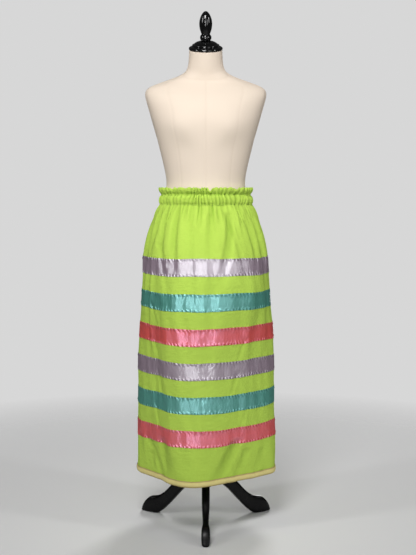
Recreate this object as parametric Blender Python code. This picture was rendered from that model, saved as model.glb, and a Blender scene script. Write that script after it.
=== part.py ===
"""Ribbon skirt on a dress form.

A long gathered skirt of plain cotton with six satin ribbons sewn round it stands on a
limbless dress form with a turned neck cap, a pole and a three-legged wooden foot.
Everything is built round the pole's axis, in metres, with +Z up and the front at -Y.
A bearing is the angle round the pole from the front, positive towards +X.
Run with: blender --background --python part.py
"""

import math
from collections import namedtuple

import bmesh
import bpy
from mathutils import Vector

# Sewing sizes
CLOTH = 0.0013
TRIM = 0.0010
BAND_WALL = 0.0020
GAP = 0.0003
RIBBON_WIDTH = 0.0508
RIBBON_SPACE = 0.0508
FIRST_RIBBON_TOP = 0.837
RIBBON_COLOURS = ("lilac", "teal", "coral", "lilac", "teal", "coral")
HEM_Z = 0.161
BINDING_WIDTH = 0.0185
BAND_BOTTOM_Z = 0.992
PANEL_TOP_Z = BAND_BOTTOM_Z - GAP
PANEL_BOTTOM_Z = HEM_Z + TRIM + GAP
GATHERS = 64
GATHER_DEPTH = 0.0050
HEADER_WAVES = 40
COARSE_CELLS = 32
FINE_CELLS = 2 * COARSE_CELLS

# Stand sizes
FOOT_REACH = 0.2373
BACK_REACH = 0.1975
POLE_Y = (FOOT_REACH - BACK_REACH) / 2
POLE_RADIUS = 0.0125
HUB_TOP_Z = 0.275
FORM_BOTTOM_Z = 0.775
NECK_TOP_Z = 1.456
NECK_TOP_Y = -0.006
NECK_TOP_RADIUS = 0.0505
CAP_TILT = math.radians(20)
CAP_HEIGHT = 0.029
GRIP_GAP = 0.0004

# The cloth's outer face: half width at the sides, reach to the front and to the back from a centre
# that stands behind the pole by shift, and how far this oval has given way to the hem's own plan.
Section = namedtuple("Section", "z side front back shift wedge")
SKIRT_SECTIONS = (
    Section(0.992, 0.1435, 0.1130, 0.1130, 0.0, 0.0),
    Section(0.978, 0.1525, 0.1210, 0.1210, 0.0, 0.0),
    Section(0.955, 0.1620, 0.1330, 0.1340, 0.001, 0.0),
    Section(0.920, 0.1740, 0.1510, 0.1500, 0.003, 0.0),
    Section(0.880, 0.1840, 0.1690, 0.1610, 0.005, 0.0),
    Section(0.837, 0.1910, 0.1840, 0.1680, 0.008, 0.0),
    Section(0.786, 0.1955, 0.1970, 0.1720, 0.011, 0.0),
    Section(0.735, 0.1990, 0.2060, 0.1730, 0.014, 0.03),
    Section(0.680, 0.2005, 0.2110, 0.1730, 0.017, 0.15),
    Section(0.600, 0.2035, 0.2130, 0.1720, 0.020, 0.42),
    Section(0.500, 0.2060, 0.2120, 0.1730, 0.020, 0.62),
    Section(0.380, 0.2100, 0.2120, 0.1750, 0.020, 0.72),
    Section(0.280, 0.2125, 0.2120, 0.1770, 0.020, 0.82),
    Section(HEM_Z, 0.2160, 0.2120, 0.1770, 0.018, 1.0),
)

# At the hem the cloth hangs in a rounded wedge, with its crown left of the centre front.
HemCorner = namedtuple("HemCorner", "bearing reach")
HEM_PLAN = (
    HemCorner(-94, 0.2150),
    HemCorner(-82, 0.2050),
    HemCorner(-67, 0.1830),
    HemCorner(-50, 0.1775),
    HemCorner(-30, 0.1955),
    HemCorner(-11, 0.2025),
    HemCorner(7, 0.1810),
    HemCorner(22, 0.1635),
    HemCorner(40, 0.1580),
    HemCorner(54, 0.1690),
    HemCorner(68, 0.1875),
    HemCorner(80, 0.2110),
    HemCorner(91, 0.2175),
    HemCorner(108, 0.2000),
    HemCorner(131, 0.1850),
    HemCorner(155, 0.1920),
    HemCorner(180, 0.1780),
    HemCorner(205, 0.1910),
    HemCorner(231, 0.1800),
    HemCorner(250, 0.2000),
)

# A fold runs down from one bearing to another; a minus depth is a trough, a plus one a ridge.
Fold = namedtuple("Fold", "top_bearing foot_bearing top_z foot_z half_width depth")
FOLDS = (
    Fold(-79, -76, 1.00, 0.60, 7.5, -0.0060),
    Fold(-67, -60, 1.00, 0.40, 7.0, -0.0065),
    Fold(-57, -46, 1.00, 0.80, 6.5, -0.0055),
    Fold(-40, -31, 1.00, 0.80, 6.5, -0.0050),
    Fold(-27, -19, 1.00, 0.16, 8.0, 0.0040),
    Fold(-14, -12, 1.00, 0.82, 6.0, -0.0040),
    Fold(8, 3, 1.00, 0.55, 7.0, -0.0050),
    Fold(34, 20, 0.99, 0.80, 6.5, -0.0065),
    Fold(36, 37, 0.98, 0.80, 5.5, -0.0050),
    Fold(42, 42, 0.80, 0.18, 8.0, 0.0035),
    Fold(50, 57, 1.00, 0.80, 6.5, -0.0055),
    Fold(66, 71, 1.00, 0.55, 7.0, -0.0060),
    Fold(80, 85, 1.00, 0.65, 6.5, -0.0055),
    Fold(98, 101, 1.00, 0.45, 7.5, -0.0065),
    Fold(112, 118, 1.00, 0.74, 7.0, -0.0055),
    Fold(128, 132, 1.00, 0.22, 8.5, -0.0070),
    Fold(146, 144, 1.00, 0.78, 7.0, -0.0055),
    Fold(161, 166, 1.00, 0.62, 7.5, -0.0060),
    Fold(178, 181, 1.00, 0.20, 9.0, -0.0075),
    Fold(196, 192, 1.00, 0.80, 7.0, -0.0050),
    Fold(212, 218, 1.00, 0.52, 8.0, -0.0065),
    Fold(231, 234, 1.00, 0.24, 8.5, -0.0070),
    Fold(249, 246, 1.00, 0.76, 7.0, -0.0055),
    Fold(265, 262, 1.00, 0.58, 7.5, -0.0060),
)

# The waistband: a ruffled header above the elastic's casing, with a row of stitches above and below it.
BandRow = namedtuple("BandRow", "z side depth gather ruffle")
BAND_ROWS = (
    BandRow(1.0435, 0.1435, 0.1150, 0.0, 1.0),
    BandRow(1.0330, 0.1405, 0.1120, 0.3, 0.7),
    BandRow(1.0220, 0.1370, 0.1075, 0.7, 0.0),
    BandRow(1.0065, 0.1445, 0.1145, 1.0, 0.0),
    BandRow(BAND_BOTTOM_Z, 0.1430, 0.1130, 0.9, 0.0),
)
RUFFLE_DEPTH = 0.0075
RUFFLE_RISE = 0.0012
HeaderDip = namedtuple("HeaderDip", "bearing half_width drop")
HEADER_DIPS = (
    HeaderDip(6.5, 4.0, 0.0105),
    HeaderDip(47, 4.5, 0.0065),
    HeaderDip(-9, 3.5, 0.0030),
    HeaderDip(-52, 4.0, 0.0035),
    HeaderDip(118, 5.0, 0.0060),
    HeaderDip(176, 4.5, 0.0080),
    HeaderDip(238, 4.5, 0.0055),
)

# The dress form, from its underside to its neck; n is the section's squareness, lean moves it back.
FormRing = namedtuple("FormRing", "z side front back n lean tilt")
GRIP_SIDE = BAND_ROWS[-1].side - GATHER_DEPTH - BAND_WALL - GRIP_GAP
GRIP_DEPTH = BAND_ROWS[-1].depth - GATHER_DEPTH - BAND_WALL - GRIP_GAP
FORM_RINGS = (
    FormRing(FORM_BOTTOM_Z, 0.1540, 0.0990, 0.1120, 2.0, 0.0, 0.0),
    FormRing(0.785, 0.1610, 0.1050, 0.1190, 2.0, 0.0, 0.0),
    FormRing(0.830, 0.1660, 0.1110, 0.1290, 2.0, 0.0, 0.0),
    FormRing(0.890, 0.1610, 0.1150, 0.1310, 2.0, 0.0, 0.0),
    FormRing(0.945, 0.1490, 0.1130, 0.1210, 2.0, 0.0, 0.0),
    FormRing(BAND_BOTTOM_Z, GRIP_SIDE, GRIP_DEPTH, GRIP_DEPTH, 2.0, 0.0, 0.0),
    FormRing(1.022, 0.1260, 0.0955, 0.0930, 2.0, 0.0, 0.0),
    FormRing(1.055, 0.1195, 0.0900, 0.0860, 2.0, 0.0, 0.0),
    FormRing(1.090, 0.1235, 0.0910, 0.0860, 2.05, 0.0, 0.0),
    FormRing(1.140, 0.1350, 0.0980, 0.0890, 2.1, 0.0, 0.0),
    FormRing(1.190, 0.1475, 0.1090, 0.0930, 2.15, 0.0, 0.0),
    FormRing(1.237, 0.1610, 0.1130, 0.0970, 2.2, 0.0, 0.0),
    FormRing(1.285, 0.1745, 0.1000, 0.0980, 2.3, 0.0, 0.0),
    FormRing(1.315, 0.1830, 0.0820, 0.0920, 2.4, 0.0, 0.0),
    FormRing(1.333, 0.1835, 0.0690, 0.0830, 2.4, 0.002, 0.0),
    FormRing(1.346, 0.1740, 0.0600, 0.0740, 2.3, 0.004, 0.0),
    FormRing(1.357, 0.1480, 0.0540, 0.0660, 2.15, 0.005, 0.1),
    FormRing(1.369, 0.1140, 0.0510, 0.0600, 2.05, 0.005, 0.2),
    FormRing(1.381, 0.0820, 0.0500, 0.0550, 2.0, 0.004, 0.3),
    FormRing(1.395, 0.0600, 0.0500, 0.0520, 2.0, 0.002, 0.45),
    FormRing(1.420, 0.0520, 0.0505, 0.0505, 2.0, -0.002, 0.7),
    FormRing(NECK_TOP_Z, NECK_TOP_RADIUS, NECK_TOP_RADIUS, NECK_TOP_RADIUS, 2.0, NECK_TOP_Y, 1.0),
)
FORM_SIDES = 24

# Turned profiles as radius and height, from the bottom up
CAP_PROFILE = (
    (0.0500, 0.000),
    (0.0522, 0.0025),
    (0.0514, 0.0065),
    (0.0468, 0.0105),
    (0.0410, 0.0130),
    (0.0395, 0.0165),
    (0.0310, 0.0230),
    (0.0200, 0.0275),
    (0.0120, CAP_HEIGHT),
)
FINIAL_PROFILE = (
    (0.0115, 0.0000),
    (0.0160, 0.0035),
    (0.0168, 0.0080),
    (0.0150, 0.0120),
    (0.0108, 0.0150),
    (0.0140, 0.0240),
    (0.0182, 0.0375),
    (0.0193, 0.0480),
    (0.0180, 0.0595),
    (0.0145, 0.0705),
    (0.0095, 0.0795),
    (0.0045, 0.0862),
)
FINIAL_TIP = 0.0880
HUB_PROFILE = (
    (0.0100, 0.1120),
    (0.0210, 0.1160),
    (0.0260, 0.1220),
    (0.0260, 0.1700),
    (0.0300, 0.1760),
    (0.0300, 0.1830),
    (0.0220, 0.1930),
    (0.0190, 0.2250),
    (0.0230, 0.2580),
    (0.0250, 0.2650),
    (0.0180, HUB_TOP_Z),
)
TURNED_SIDES = 20
HUB_SIDES = 18
HUB_FLAT = HUB_PROFILE[2][0] * math.cos(math.pi / HUB_SIDES)

# A leg's sections along its top and bottom edges, out from the hub
LegSection = namedtuple("LegSection", "top_reach top_z bottom_reach bottom_z half_width")
LEG_SECTIONS = (
    LegSection(HUB_FLAT + GAP, 0.1660, HUB_FLAT + GAP, 0.1240, 0.0110),
    LegSection(0.0500, 0.1650, 0.0450, 0.1210, 0.0120),
    LegSection(0.0760, 0.1510, 0.0620, 0.1090, 0.0125),
    LegSection(0.1020, 0.1250, 0.0820, 0.0920, 0.0125),
    LegSection(0.1280, 0.0970, 0.1040, 0.0680, 0.0120),
    LegSection(0.1500, 0.0750, 0.1280, 0.0420, 0.0105),
    LegSection(0.1720, 0.0600, 0.1520, 0.0180, 0.0095),
    LegSection(0.1900, 0.0545, 0.1720, 0.0030, 0.0110),
    LegSection(0.2060, 0.0505, 0.1840, 0.0, 0.0130),
    LegSection(0.2210, 0.0370, 0.2150, 0.0, 0.0135),
    LegSection(0.2315, 0.0200, 0.2295, 0.0, 0.0118),
    LegSection(FOOT_REACH, 0.0060, 0.2360, 0.0, 0.0080),
)
LEG_CHAMFER = 0.0035
LEG_BEARINGS = {"leg_front": 0, "leg_right": 120, "leg_left": 240}

COLOURS = {
    "lime": ((0.45, 0.78, 0.08, 1), 0.85, 0.0),
    "lilac": ((0.55, 0.45, 0.58, 1), 0.30, 0.0),
    "teal": ((0.10, 0.50, 0.44, 1), 0.30, 0.0),
    "coral": ((0.85, 0.13, 0.16, 1), 0.30, 0.0),
    "straw": ((0.62, 0.50, 0.20, 1), 0.55, 0.0),
    "linen": ((0.82, 0.74, 0.64, 1), 0.90, 0.0),
    "black": ((0.012, 0.012, 0.013, 1), 0.30, 0.0),
}


def clear_scene():
    for old in list(bpy.data.objects):
        bpy.data.objects.remove(old, do_unlink=True)


def smooth_step(share):
    share = min(1.0, max(0.0, share))
    return share * share * (3 - 2 * share)


def bump(distance, half_width):
    """1 in the middle, falling smoothly to 0 at half_width away."""
    return smooth_step(1 - abs(distance) / half_width)


def turn_between(bearing, other):
    """The signed angle from other to bearing, from -180 to 180 degrees."""
    return (bearing - other + 180) % 360 - 180


def between(rows, z):
    """The row of a table of sections at height z, with its other columns read along straight lines."""
    ordered = sorted(rows, key=lambda row: row.z)
    z = min(max(z, ordered[0].z), ordered[-1].z)
    for low, high in zip(ordered, ordered[1:]):
        if z <= high.z:
            share = (z - low.z) / (high.z - low.z)
            return [a + (b - a) * share for a, b in zip(low, high)][1:]
    return list(ordered[-1])[1:]


def oval_reach(bearing, side, front, back, n=2.0):
    """How far an oval section reaches at a bearing; n over 2 makes it squarer."""
    across = abs(math.sin(math.radians(bearing))) / side
    ahead = math.cos(math.radians(bearing))
    along = abs(ahead) / (front if ahead > 0 else back)
    return (across**n + along**n) ** (-1 / n)


def hem_reach(bearing):
    """The hem's reach, on a smooth closed curve through HEM_PLAN."""
    count = len(HEM_PLAN)
    for i, corner in enumerate(HEM_PLAN):
        before = HEM_PLAN[i - 1]
        following = HEM_PLAN[(i + 1) % count]
        after = HEM_PLAN[(i + 2) % count]
        span = (following.bearing - corner.bearing) % 360
        ahead = (bearing - corner.bearing) % 360
        if ahead <= span:
            t = ahead / span
            rise_in = span * (following.reach - before.reach) / ((following.bearing - before.bearing) % 360)
            rise_out = span * (after.reach - corner.reach) / ((after.bearing - corner.bearing) % 360)
            return (
                (2 * t**3 - 3 * t**2 + 1) * corner.reach
                + (t**3 - 2 * t**2 + t) * rise_in
                + (3 * t**2 - 2 * t**3) * following.reach
                + (t**3 - t**2) * rise_out
            )
    return HEM_PLAN[0].reach


def fold_depth(bearing, z):
    """What the large folds add to the cloth's reach."""
    total = 0.0
    for fold in FOLDS:
        if not fold.foot_z < z < fold.top_z:
            continue
        down = (fold.top_z - z) / (fold.top_z - fold.foot_z)
        middle = fold.top_bearing + (fold.foot_bearing - fold.top_bearing) * down
        fade = smooth_step(down / 0.12) * smooth_step((1 - down) / 0.6)
        total += fold.depth * fade * bump(turn_between(bearing, middle), fold.half_width)
    return total


def skirt_reach(bearing, z):
    """How far the skirt cloth's outer face stands from its centre."""
    side, front, back, _, wedge = between(SKIRT_SECTIONS, z)
    hanging = oval_reach(bearing, side, front, back)
    return hanging + (hem_reach(bearing) - hanging) * wedge + fold_depth(bearing, z)


def polar(bearing, reach, z):
    angle = math.radians(bearing)
    return Vector((reach * math.sin(angle), -reach * math.cos(angle), z))


def skirt_point(bearing, reach, z, at_z=None):
    """A point of the skirt, round the centre of its section at height z, or at_z where that is given."""
    shift = between(SKIRT_SECTIONS, z if at_z is None else at_z)[3]
    return polar(bearing, reach, z) + Vector((0, shift, 0))


def material(name):
    colour, roughness, metallic = COLOURS[name]
    made = bpy.data.materials.get(name) or bpy.data.materials.new(name)
    made.use_nodes = True
    shader = made.node_tree.nodes["Principled BSDF"]
    shader.inputs["Base Color"].default_value = colour
    shader.inputs["Roughness"].default_value = roughness
    shader.inputs["Metallic"].default_value = metallic
    return made


def add_object(name, mesh_edit, colour, parent, smooth_under=35):
    """Turns a finished bmesh into a named object under the pole's empty."""
    bmesh.ops.recalc_face_normals(mesh_edit, faces=mesh_edit.faces)
    mesh = bpy.data.meshes.new(name)
    mesh_edit.to_mesh(mesh)
    mesh_edit.free()
    mesh.shade_smooth()
    mesh.set_sharp_from_angle(angle=math.radians(smooth_under))
    mesh.materials.append(material(colour))
    made = bpy.data.objects.new(name, mesh)
    bpy.context.scene.collection.objects.link(made)
    made.parent = parent
    return made


def join_rows(mesh_edit, upper, lower, flip=False):
    """Triangles between two rows of points; the upper row may have twice the lower row's cells."""
    triangles = []
    if len(upper) == len(lower):
        for i in range(len(upper) - 1):
            triangles.append((upper[i], upper[i + 1], lower[i]))
            triangles.append((upper[i + 1], lower[i + 1], lower[i]))
    else:
        for i in range(len(lower) - 1):
            left, middle, right = upper[2 * i : 2 * i + 3]
            triangles.append((left, middle, lower[i]))
            triangles.append((middle, lower[i + 1], lower[i]))
            triangles.append((middle, right, lower[i + 1]))
    for corners in triangles:
        mesh_edit.faces.new(corners[::-1] if flip else corners)


def cloth_wall(rows, closed):
    """A closed wall from rows of (outer, inner) points, top row first; closed rows run all the way round."""
    mesh_edit = bmesh.new()
    outer, inner = [], []
    for row in rows:
        pairs = [(mesh_edit.verts.new(a), mesh_edit.verts.new(b)) for a, b in row]
        if closed:
            pairs.append(pairs[0])
        outer.append([pair[0] for pair in pairs])
        inner.append([pair[1] for pair in pairs])
    for i in range(len(rows) - 1):
        join_rows(mesh_edit, outer[i], outer[i + 1])
        join_rows(mesh_edit, inner[i], inner[i + 1], flip=True)
    join_rows(mesh_edit, inner[0], outer[0])
    join_rows(mesh_edit, outer[-1], inner[-1])
    if not closed:
        for end in (0, -1):
            edge_out = [row[end] for row in outer]
            edge_in = [row[end] for row in inner]
            join_rows(mesh_edit, edge_out, edge_in, flip=end == 0)
    return mesh_edit


def panel_bearings(middle, cells):
    """Bearings across a half skirt, stopping half a gap short of each side seam."""
    seam = math.degrees(GAP / 2 / SKIRT_SECTIONS[0].side)
    return [middle - 90 + seam + (180 - 2 * seam) * i / cells for i in range(cells + 1)]


def ribbon_top(index):
    return FIRST_RIBBON_TOP - index * (RIBBON_WIDTH + RIBBON_SPACE)


def panel_rows():
    """(height, cells) of the panel's rows, from the gathered top to the hem."""
    rows = [(PANEL_TOP_Z, FINE_CELLS), (0.978, FINE_CELLS), (0.955, FINE_CELLS), (0.920, FINE_CELLS)]
    rows.append((0.880, COARSE_CELLS))
    for index in range(len(RIBBON_COLOURS)):
        rows.append((ribbon_top(index), COARSE_CELLS))
        rows.append((ribbon_top(index) - RIBBON_WIDTH, COARSE_CELLS))
    rows.append((HEM_Z + BINDING_WIDTH, COARSE_CELLS))
    rows.append((PANEL_BOTTOM_Z, COARSE_CELLS))
    return rows


def stitch_gather(column, z):
    """The small gathers that the elastic's lower stitching throws into the top of the panel."""
    held = smooth_step((z - 0.955) / (PANEL_TOP_Z - 0.955))
    return -GATHER_DEPTH * 0.6 * held if column % 2 == 0 else 0.0


def build_panel(name, middle, parent):
    rows = []
    for z, cells in panel_rows():
        row = []
        for column, bearing in enumerate(panel_bearings(middle, cells)):
            reach = skirt_reach(bearing, z)
            if cells == FINE_CELLS:
                reach += stitch_gather(column, z)
            row.append((skirt_point(bearing, reach, z), skirt_point(bearing, reach - CLOTH, z)))
        rows.append(row)
    return add_object(name, cloth_wall(rows, closed=False), "lime", parent, smooth_under=60)


def build_ribbon(name, middle, top_z, colour, parent):
    """A ribbon lies on a panel: its points are the panel's, moved out."""
    rows = []
    for z in (top_z, top_z - RIBBON_WIDTH):
        row = []
        for bearing in panel_bearings(middle, COARSE_CELLS):
            reach = skirt_reach(bearing, z) + GAP
            row.append((skirt_point(bearing, reach + TRIM, z), skirt_point(bearing, reach, z)))
        rows.append(row)
    return add_object(name, cloth_wall(rows, closed=False), colour, parent, smooth_under=60)


def gather_depth(column):
    """One gather is three columns: a trough, then the two shoulders of a crest of uneven height."""
    if column % 3 == 0:
        return -GATHER_DEPTH
    gather = column // 3
    return -GATHER_DEPTH * (0.14 + 0.14 * math.sin(2.4 * gather) * (1 if column % 3 == 1 else -1))


def header_drop(bearing):
    drop = 0.0
    for dip in HEADER_DIPS:
        drop += dip.drop * bump(turn_between(bearing, dip.bearing), dip.half_width)
    return drop


def build_waistband(parent):
    """One strip turned over an elastic: the ruffled header, the casing and its two rows of stitches."""
    columns = 3 * GATHERS
    rows = []
    for band in BAND_ROWS:
        row = []
        for column in range(columns):
            bearing = 360 * column / columns - 90
            wave = HEADER_WAVES * math.radians(bearing) + 0.9 * math.sin(3 * math.radians(bearing))
            reach = oval_reach(bearing, band.side, band.depth, band.depth)
            reach += band.gather * gather_depth(column)
            reach += band.ruffle * RUFFLE_DEPTH * (math.cos(wave) - 1) / 2
            z = band.z
            if band.ruffle:
                rise = RUFFLE_RISE * math.sin(wave + 1.1)
                z += band.ruffle**3 * (rise - header_drop(bearing))
            row.append((polar(bearing, reach, z), polar(bearing, reach - BAND_WALL, z)))
        rows.append(row)
    return add_object("waistband", cloth_wall(rows, closed=True), "lime", parent, smooth_under=50)


def build_hem_binding(parent):
    """A bias strip folded over the hem: its section is a U that holds the panels' lower edge."""
    top_z = HEM_Z + BINDING_WIDTH
    slot_z = HEM_Z + TRIM
    outer = GAP + TRIM
    inner = -CLOTH - GAP - TRIM
    section = (
        (GAP, top_z),
        (outer, top_z),
        (outer, HEM_Z),
        (inner, HEM_Z),
        (inner, top_z),
        (inner + TRIM, top_z),
        (inner + TRIM, slot_z),
        (GAP, slot_z),
    )
    mesh_edit = bmesh.new()
    rings = []
    bearings = panel_bearings(0, COARSE_CELLS)[:-1] + panel_bearings(180, COARSE_CELLS)[:-1]
    for bearing in bearings:
        ring = []
        for out, z in section:
            reach = skirt_reach(bearing, max(z, slot_z)) + out
            ring.append(mesh_edit.verts.new(skirt_point(bearing, reach, z, at_z=max(z, slot_z))))
        rings.append(ring)
    for i, ring in enumerate(rings):
        following = rings[(i + 1) % len(rings)]
        for k in range(len(section)):
            after = (k + 1) % len(section)
            corners = (ring[k], following[k], following[after], ring[after])
            mesh_edit.faces.new((corners[0], corners[1], corners[3]))
            mesh_edit.faces.new((corners[1], corners[2], corners[3]))
    return add_object("hem_binding", mesh_edit, "straw", parent)


def build_form(parent):
    """The limbless dress form, lofted from its underside to the slanted top of its neck."""
    mesh_edit = bmesh.new()
    rings = []
    for ring in FORM_RINGS:
        points = []
        for i in range(FORM_SIDES):
            bearing = 360 * i / FORM_SIDES - 90
            spot = polar(bearing, oval_reach(bearing, ring.side, ring.front, ring.back, ring.n), 0)
            rise = spot.y * math.tan(CAP_TILT) * ring.tilt
            points.append(mesh_edit.verts.new((spot.x, spot.y + ring.lean, ring.z + rise)))
        rings.append(points)
    for low, high in zip(rings, rings[1:]):
        for i in range(FORM_SIDES):
            j = (i + 1) % FORM_SIDES
            mesh_edit.faces.new((low[i], low[j], high[j], high[i]))
    mesh_edit.faces.new(rings[0][::-1])
    mesh_edit.faces.new(rings[-1])
    return add_object("dress_form", mesh_edit, "linen", parent, smooth_under=50)


def turned(name, profile, sides, colour, parent, tip=None):
    """A piece turned on a lathe, from its bottom up; tip closes it in a point."""
    mesh_edit = bmesh.new()
    rings = []
    for radius, z in profile:
        turn = [360 * (i + 0.5) / sides for i in range(sides)]
        rings.append([mesh_edit.verts.new(polar(bearing, radius, z)) for bearing in turn])
    for low, high in zip(rings, rings[1:]):
        for i in range(sides):
            j = (i + 1) % sides
            mesh_edit.faces.new((low[i], low[j], high[j], high[i]))
    mesh_edit.faces.new(rings[0][::-1])
    if tip is None:
        mesh_edit.faces.new(rings[-1])
    else:
        point = mesh_edit.verts.new((0, 0, tip))
        for i in range(sides):
            mesh_edit.faces.new((rings[-1][i], rings[-1][(i + 1) % sides], point))
    return add_object(name, mesh_edit, colour, parent)


def build_neck_cap(parent):
    """The cap lies on the neck's slanted top, and its knob stands square to it."""
    slant = bpy.data.objects.new("neck_slant", None)
    bpy.context.scene.collection.objects.link(slant)
    slant.parent = parent
    slant.location = (0, NECK_TOP_Y, NECK_TOP_Z)
    slant.rotation_euler = (CAP_TILT, 0, 0)
    cap = turned("neck_cap", CAP_PROFILE, TURNED_SIDES, "black", slant)
    cap.location = (0, 0, GAP)
    knob = turned("finial", FINIAL_PROFILE, TURNED_SIDES, "black", slant, tip=FINIAL_TIP)
    knob.location = (0, 0, CAP_HEIGHT + 2 * GAP)


def build_pole(parent):
    length = FORM_BOTTOM_Z - HUB_TOP_Z - 2 * GAP
    mesh_edit = bmesh.new()
    bmesh.ops.create_cone(
        mesh_edit, cap_ends=True, segments=16, radius1=POLE_RADIUS, radius2=POLE_RADIUS, depth=length
    )
    pole = add_object("pole", mesh_edit, "black", parent)
    pole.location = (0, 0, HUB_TOP_Z + GAP + length / 2)


def build_leg(name, bearing, parent):
    """An S-shaped wooden leg with chamfered edges and a flat-bottomed foot, built along -Y."""
    mesh_edit = bmesh.new()
    rings = []
    for part in LEG_SECTIONS:
        top = Vector((0, -part.top_reach, part.top_z))
        bottom = Vector((0, -part.bottom_reach, part.bottom_z))
        down = (bottom - top).normalized()
        cut = min(LEG_CHAMFER, (bottom - top).length / 3)
        ring = []
        for across, spot in (
            (part.half_width - cut, top),
            (part.half_width, top + down * cut),
            (part.half_width, bottom - down * cut),
            (part.half_width - cut, bottom),
        ):
            ring.append(mesh_edit.verts.new(spot + Vector((across, 0, 0))))
        for vertex in reversed(ring[:]):
            ring.append(mesh_edit.verts.new((-vertex.co.x, vertex.co.y, vertex.co.z)))
        rings.append(ring)
    for near, far in zip(rings, rings[1:]):
        for i in range(len(near)):
            j = (i + 1) % len(near)
            mesh_edit.faces.new((near[i], near[j], far[j], far[i]))
    mesh_edit.faces.new(rings[0][::-1])
    mesh_edit.faces.new(rings[-1])
    leg = add_object(name, mesh_edit, "black", parent)
    leg.rotation_euler = (0, 0, math.radians(bearing))


def main():
    clear_scene()
    axis = bpy.data.objects.new("pole_axis", None)
    bpy.context.scene.collection.objects.link(axis)
    axis.location = (0, POLE_Y, 0)
    for side, middle in (("front", 0), ("back", 180)):
        build_panel(f"skirt_{side}", middle, axis)
        for index, colour in enumerate(RIBBON_COLOURS):
            name = f"ribbon_{index + 1}_{colour}_{side}"
            build_ribbon(name, middle, ribbon_top(index), colour, axis)
    build_waistband(axis)
    build_hem_binding(axis)
    build_form(axis)
    build_neck_cap(axis)
    build_pole(axis)
    turned("hub", HUB_PROFILE, HUB_SIDES, "black", axis)
    for name, bearing in LEG_BEARINGS.items():
        build_leg(name, bearing, axis)


main()
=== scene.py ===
# %% [markdown]
# A ribbon skirt on a dress form
#
# This lesson finishes the looks of a long cotton ribbon skirt that stands on a limbless dress form.
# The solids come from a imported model, which fixes every size. Cloth, sewing, wood and lacquer are
# made over them here. Lengths are in metres, +Z is up and the wearer's front is at -Y.

import math
from collections import namedtuple

import bpy
import numpy as np
from mathutils import Matrix, Vector


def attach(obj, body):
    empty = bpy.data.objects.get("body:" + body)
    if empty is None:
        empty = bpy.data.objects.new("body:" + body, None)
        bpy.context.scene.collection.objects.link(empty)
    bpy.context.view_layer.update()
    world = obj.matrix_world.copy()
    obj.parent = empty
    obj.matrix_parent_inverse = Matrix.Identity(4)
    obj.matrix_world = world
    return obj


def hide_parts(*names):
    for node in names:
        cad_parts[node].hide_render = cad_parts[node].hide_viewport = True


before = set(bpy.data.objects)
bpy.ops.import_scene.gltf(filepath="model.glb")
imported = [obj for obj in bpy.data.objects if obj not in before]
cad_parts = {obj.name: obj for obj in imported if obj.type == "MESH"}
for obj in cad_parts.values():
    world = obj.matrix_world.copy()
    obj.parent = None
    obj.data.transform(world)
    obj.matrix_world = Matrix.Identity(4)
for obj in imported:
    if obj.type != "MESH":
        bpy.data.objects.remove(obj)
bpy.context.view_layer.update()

# %% [markdown]
# The camera
#
# A camera is set once and never touched again, so that every later render can be compared with
# the first. It stands a little over three metres in front of the pole, at the height of the waist,
# and looks slightly down. A long lens keeps the skirt's sides nearly parallel, as a product
# photograph does.

# %% Place the camera
POLE_Y = 0.0199
CAMERA_DISTANCE = 3.142
CAMERA_PLACE = (0.0068, POLE_Y - CAMERA_DISTANCE, 1.041)
CAMERA_DIP = 0.0864
SENSOR_LONG_SIDE = 36.0
FOCAL_SHARE = 1.8468

bpy.ops.object.select_all(action="DESELECT")
bpy.ops.object.camera_add(location=CAMERA_PLACE, rotation=(math.pi / 2 - CAMERA_DIP, 0, 0))
camera = bpy.context.active_object
camera.name = "camera"
camera.data.sensor_width = SENSOR_LONG_SIDE
camera.data.lens = FOCAL_SHARE * SENSOR_LONG_SIDE
bpy.context.scene.camera = camera
print("lens:", round(camera.data.lens, 2), "mm")

# %% [markdown]
# Soft studio light
#
# The key is a soft box high in front, a little to the left, so the form is brightest and the hem
# darkest. A narrow upright box stands lower, nearly in line with the camera, and a wide one well to
# its right: satin mirrors the first as a sharp streak and the second as a soft glow, on the folds
# that face halfway to each. The narrow one is there for its reflection alone and leaves the cotton's
# shading as it is. Weaker boxes at the sides and behind keep every side readable. All the lamps have
# a narrowed spread, so the light falls off towards the hem. The world is an even pale grey: it is
# seen bright, and lights the cloth only weakly, so that the folds keep their shade.

# %% Hang the lamps and light the world
LAMP_AIM = Vector((0, 0, 0.97))
Lamp = namedtuple("Lamp", "name place width height power lights_cloth mirrored")
LAMPS = (
    Lamp("key_box", (-0.38, -1.95, 2.45), 0.80, 0.8, 9.7, True, True),
    Lamp("streak_box", (-0.45, -3.00, 0.70), 0.10, 2.2, 8.4, False, True),
    Lamp("glow_box", (1.30, -2.60, 1.00), 1.00, 1.8, 3.8, True, True),
    Lamp("left_box", (-2.40, -1.30, 1.95), 0.30, 1.4, 4.6, True, True),
    Lamp("right_box", (2.40, -1.30, 1.95), 0.30, 1.4, 4.2, True, True),
    Lamp("back_box", (0.70, 2.60, 2.40), 0.90, 0.9, 12.5, True, False),
    Lamp("back_strip", (0.40, 3.20, 0.60), 0.90, 1.2, 3.8, True, True),
)
LAMP_SPREAD = math.radians(80)
WORLD_LIGHT = 0.055
WORLD_SEEN = 0.68

for lamp in LAMPS:
    bpy.ops.object.light_add(type="AREA", location=lamp.place)
    light = bpy.context.active_object
    light.name = lamp.name
    light.rotation_euler = (LAMP_AIM - Vector(lamp.place)).to_track_quat("-Z", "Y").to_euler()
    light.data.shape = "RECTANGLE"
    light.data.size = lamp.width
    light.data.size_y = lamp.height
    light.data.energy = lamp.power
    light.data.spread = LAMP_SPREAD
    light.visible_camera = False
    light.visible_diffuse = lamp.lights_cloth
    light.visible_glossy = lamp.mirrored

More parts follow.
